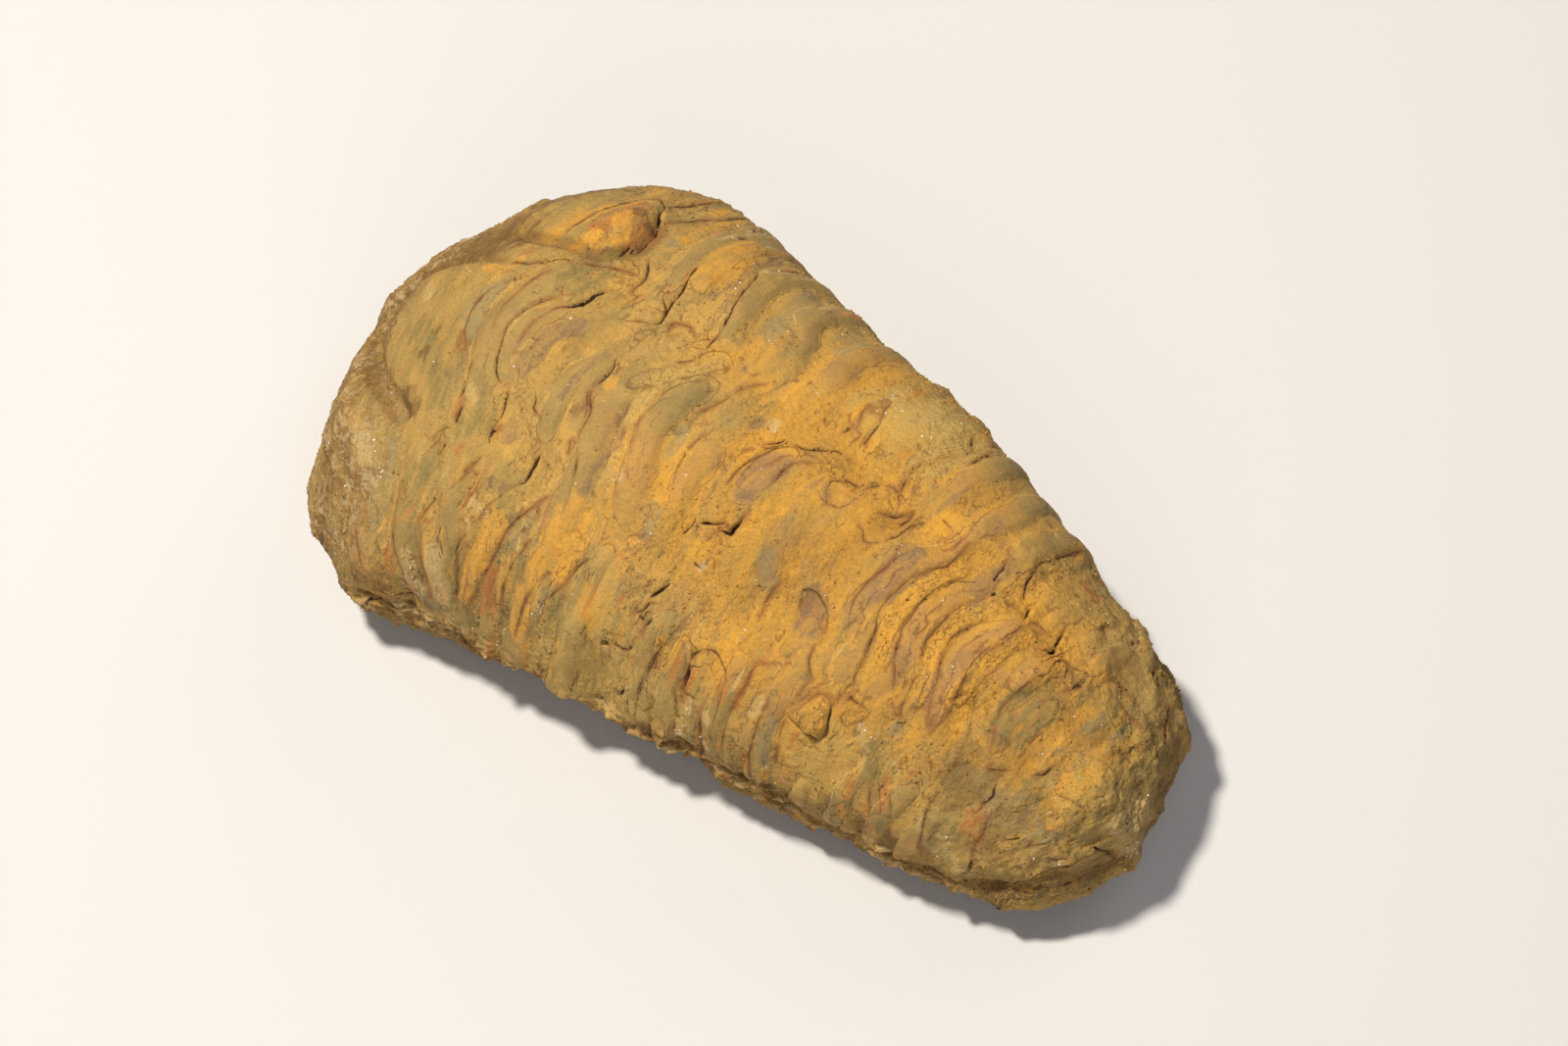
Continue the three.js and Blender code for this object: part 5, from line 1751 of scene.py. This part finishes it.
def scatter_tree():
    """Nodes that strew many-sided grains over a mesh, where an attribute of it says so."""
    tree = bpy.data.node_groups.new("scatter", "GeometryNodeTree")
    sockets = {}
    for name, kind in (
        ("Ground", "NodeSocketGeometry"),
        ("Where", "NodeSocketString"),
        ("Grains per square metre", "NodeSocketFloat"),
        ("Smallest", "NodeSocketFloat"),
        ("Largest", "NodeSocketFloat"),
        ("Seed", "NodeSocketInt"),
        ("Material", "NodeSocketMaterial"),
    ):
        sockets[name] = tree.interface.new_socket(name, in_out="INPUT", socket_type=kind).identifier
    tree.interface.new_socket("Grains", in_out="OUTPUT", socket_type="NodeSocketGeometry")
    given = tree.nodes.new("NodeGroupInput").outputs
    where = tree.nodes.new("GeometryNodeInputNamedAttribute")
    density = tree.nodes.new("ShaderNodeMath")
    density.operation = "MULTIPLY"
    strewn = tree.nodes.new("GeometryNodeDistributePointsOnFaces")
    shape = tree.nodes.new("GeometryNodeMeshIcoSphere")
    size = tree.nodes.new("FunctionNodeRandomValue")
    turn = tree.nodes.new("FunctionNodeRandomValue")
    turn.data_type = "FLOAT_VECTOR"
    stretch = tree.nodes.new("FunctionNodeRandomValue")
    stretch.data_type = "FLOAT_VECTOR"
    scale = tree.nodes.new("ShaderNodeVectorMath")
    scale.operation = "SCALE"
    placed = tree.nodes.new("GeometryNodeInstanceOnPoints")
    real = tree.nodes.new("GeometryNodeRealizeInstances")
    finish = tree.nodes.new("GeometryNodeSetMaterial")
    result = tree.nodes.new("NodeGroupOutput")
    shape.inputs["Subdivisions"].default_value = 1
    turn.inputs[1].default_value = (FULL_TURN,) * 3
    stretch.inputs[0].default_value = (0.6,) * 3
    stretch.inputs[1].default_value = (1.4,) * 3
    for source, target in (
        (given["Where"], where.inputs["Name"]),
        (where.outputs["Attribute"], density.inputs[0]),
        (given["Grains per square metre"], density.inputs[1]),
        (given["Ground"], strewn.inputs["Mesh"]),
        (density.outputs[0], strewn.inputs["Density"]),
        (given["Seed"], strewn.inputs["Seed"]),
        (given["Smallest"], size.inputs[2]),
        (given["Largest"], size.inputs[3]),
        (strewn.outputs["Points"], placed.inputs["Points"]),
        (shape.outputs["Mesh"], placed.inputs["Instance"]),
        (turn.outputs[0], placed.inputs["Rotation"]),
        (stretch.outputs[0], scale.inputs[0]),
        (size.outputs[1], scale.inputs["Scale"]),
        (scale.outputs[0], placed.inputs["Scale"]),
        (placed.outputs["Instances"], real.inputs["Geometry"]),
        (real.outputs["Geometry"], finish.inputs["Geometry"]),
        (given["Material"], finish.inputs["Material"]),
        (finish.outputs["Geometry"], result.inputs["Grains"]),
    ):
        tree.links.new(source, target)
    return tree, sockets


def scattered(name, tree, sockets, values, material):
    """Strews grains over a copy of the stone, and keeps them alone as a piece."""
    ground = put_in_scene(name + "_ground", stone_mesh.copy())
    modifier = ground.modifiers.new("scatter", "NODES")
    modifier.node_group = tree
    for socket, value in values.items():
        modifier[sockets[socket]] = value
    modifier[sockets["Material"]] = material
    mesh = worked_out(ground)
    mesh.name = name
    piece = put_in_scene(name, mesh)
    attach(piece, "root")


def crystal_finish():
    look = Shading("calcite")
    look.join(CALCITE_PALE, look.shader["Base Color"])
    look.join(0.18, look.shader["Roughness"])
    look.join(0.7, look.shader["Specular IOR Level"])
    return look.material


def stored(mesh, name):
    """What store put there, read back."""
    values = np.empty(len(mesh.vertices), np.float32)
    mesh.attributes[name].data.foreach_get("value", values)
    return values


def mark_places(mesh):
    """Where crystals lie, in loose swarms, most of them on pale places, and where grains do."""
    most = np.full(len(mesh.vertices), SPARKLE_EVERYWHERE)
    for tint, share in SPARKLING_TINTS.items():
        most = np.maximum(most, np.clip(stored(mesh, tint), 0, SPARKLE_MOST) * share)
    places = np.empty(len(mesh.vertices) * 3, np.float32)
    mesh.vertices.foreach_get("co", places)
    places = places.reshape(-1, 3) / MM
    swarm = easing(0, 0.6, unevenness(places, 1.4, 42))
    store(mesh, "crystals", most * swarm * easing(3, 5, places[:, 2]))
    store(mesh, "grainy", stored(mesh, "crumbly") * easing(0.6, 1, places[:, 2]))


mark_places(stone_mesh)
scatter, scatter_sockets = scatter_tree()
grain_values = {
    "Where": "grainy",
    "Grains per square metre": 1.6e6,
    "Smallest": 0.05 * MM,
    "Largest": 0.16 * MM,
    "Seed": GRAIN_SEED,
}
crystal_values = {
    "Where": "crystals",
    "Grains per square metre": 3e6,
    "Smallest": 0.03 * MM,
    "Largest": 0.09 * MM,
    "Seed": CRYSTAL_SEED,
}
scattered("matrix_grains", scatter, scatter_sockets, grain_values, stone_mesh.materials[0])
scattered("calcite_crystals", scatter, scatter_sockets, crystal_values, crystal_finish())

# =====================================================================================
# The studio: a plain pale floor, a key light high over the head, weak wide fills from the
# near and far sides, and an even pale surround, with the camera high over the near flank.
# =====================================================================================

FLOOR_HALF = 3.0
FLOOR_PALE = (214, 211, 206)
LIGHT_AIM = Vector((0, 0, 0.01))


def make_floor():
    signs = ((-1, -1), (1, -1), (1, 1), (-1, 1))
    corners = [(x * FLOOR_HALF, y * FLOOR_HALF, 0) for x, y in signs]
    mesh = bpy.data.meshes.new("floor")
    mesh.from_pydata(corners, [], [(0, 1, 2, 3)])
    look = Shading("pale_floor")
    look.join(FLOOR_PALE, look.shader["Base Color"])
    look.join(0.9, look.shader["Roughness"])
    mesh.materials.append(look.material)
    floor = put_in_scene("floor", mesh)


def make_light(name, place, size, watts, colour):
    """A round lamp, turned to the stone."""
    lamp = bpy.data.lights.new(name, "AREA")
    lamp.shape = "DISK"
    lamp.size = size
    lamp.energy = watts
    lamp.color = linear(colour)[:3]
    light = put_in_scene(name, lamp)
    light.location = place
    light.rotation_euler = (LIGHT_AIM - Vector(place)).to_track_quat("-Z", "Y").to_euler()


def make_surround(colour, strength):
    world = bpy.data.worlds.new("surround")
    world.use_nodes = True
    background = world.node_tree.nodes["Background"]
    background.inputs["Color"].default_value = linear(colour)
    background.inputs["Strength"].default_value = strength
    bpy.context.scene.world = world


# The camera looks down on the near flank from beside the tail.
CAMERA_BEARING = math.radians(37)
CAMERA_RISE = math.radians(63)
CAMERA_DISTANCE = 0.5
CAMERA_AIM = Vector((0.39, 1.93, 13.0)) * MM
CAMERA_LENS = 135


def make_camera():
    back = Vector((
        math.sin(CAMERA_BEARING) * math.cos(CAMERA_RISE),
        -math.cos(CAMERA_BEARING) * math.cos(CAMERA_RISE),
        math.sin(CAMERA_RISE),
    ))
    data = bpy.data.cameras.new("camera")
    data.lens = CAMERA_LENS
    data.clip_start = 0.01
    camera = put_in_scene("camera", data)
    camera.location = CAMERA_AIM + back * CAMERA_DISTANCE
    camera.rotation_euler = (-back).to_track_quat("-Z", "Y").to_euler()
    bpy.context.scene.camera = camera


make_floor()
make_light("key", (-0.2, -0.08, 0.6), size=0.07, watts=4.7, colour=(255, 250, 242))
make_light("fill", (0.35, -0.5, 0.35), size=0.5, watts=1.25, colour=(240, 245, 255))
make_light("far_fill", (0.1, 0.55, 0.4), size=0.5, watts=0.6, colour=(245, 246, 255))
make_surround(colour=(235, 238, 245), strength=0.15)
make_camera()
bpy.context.scene.view_settings.view_transform = "Standard"
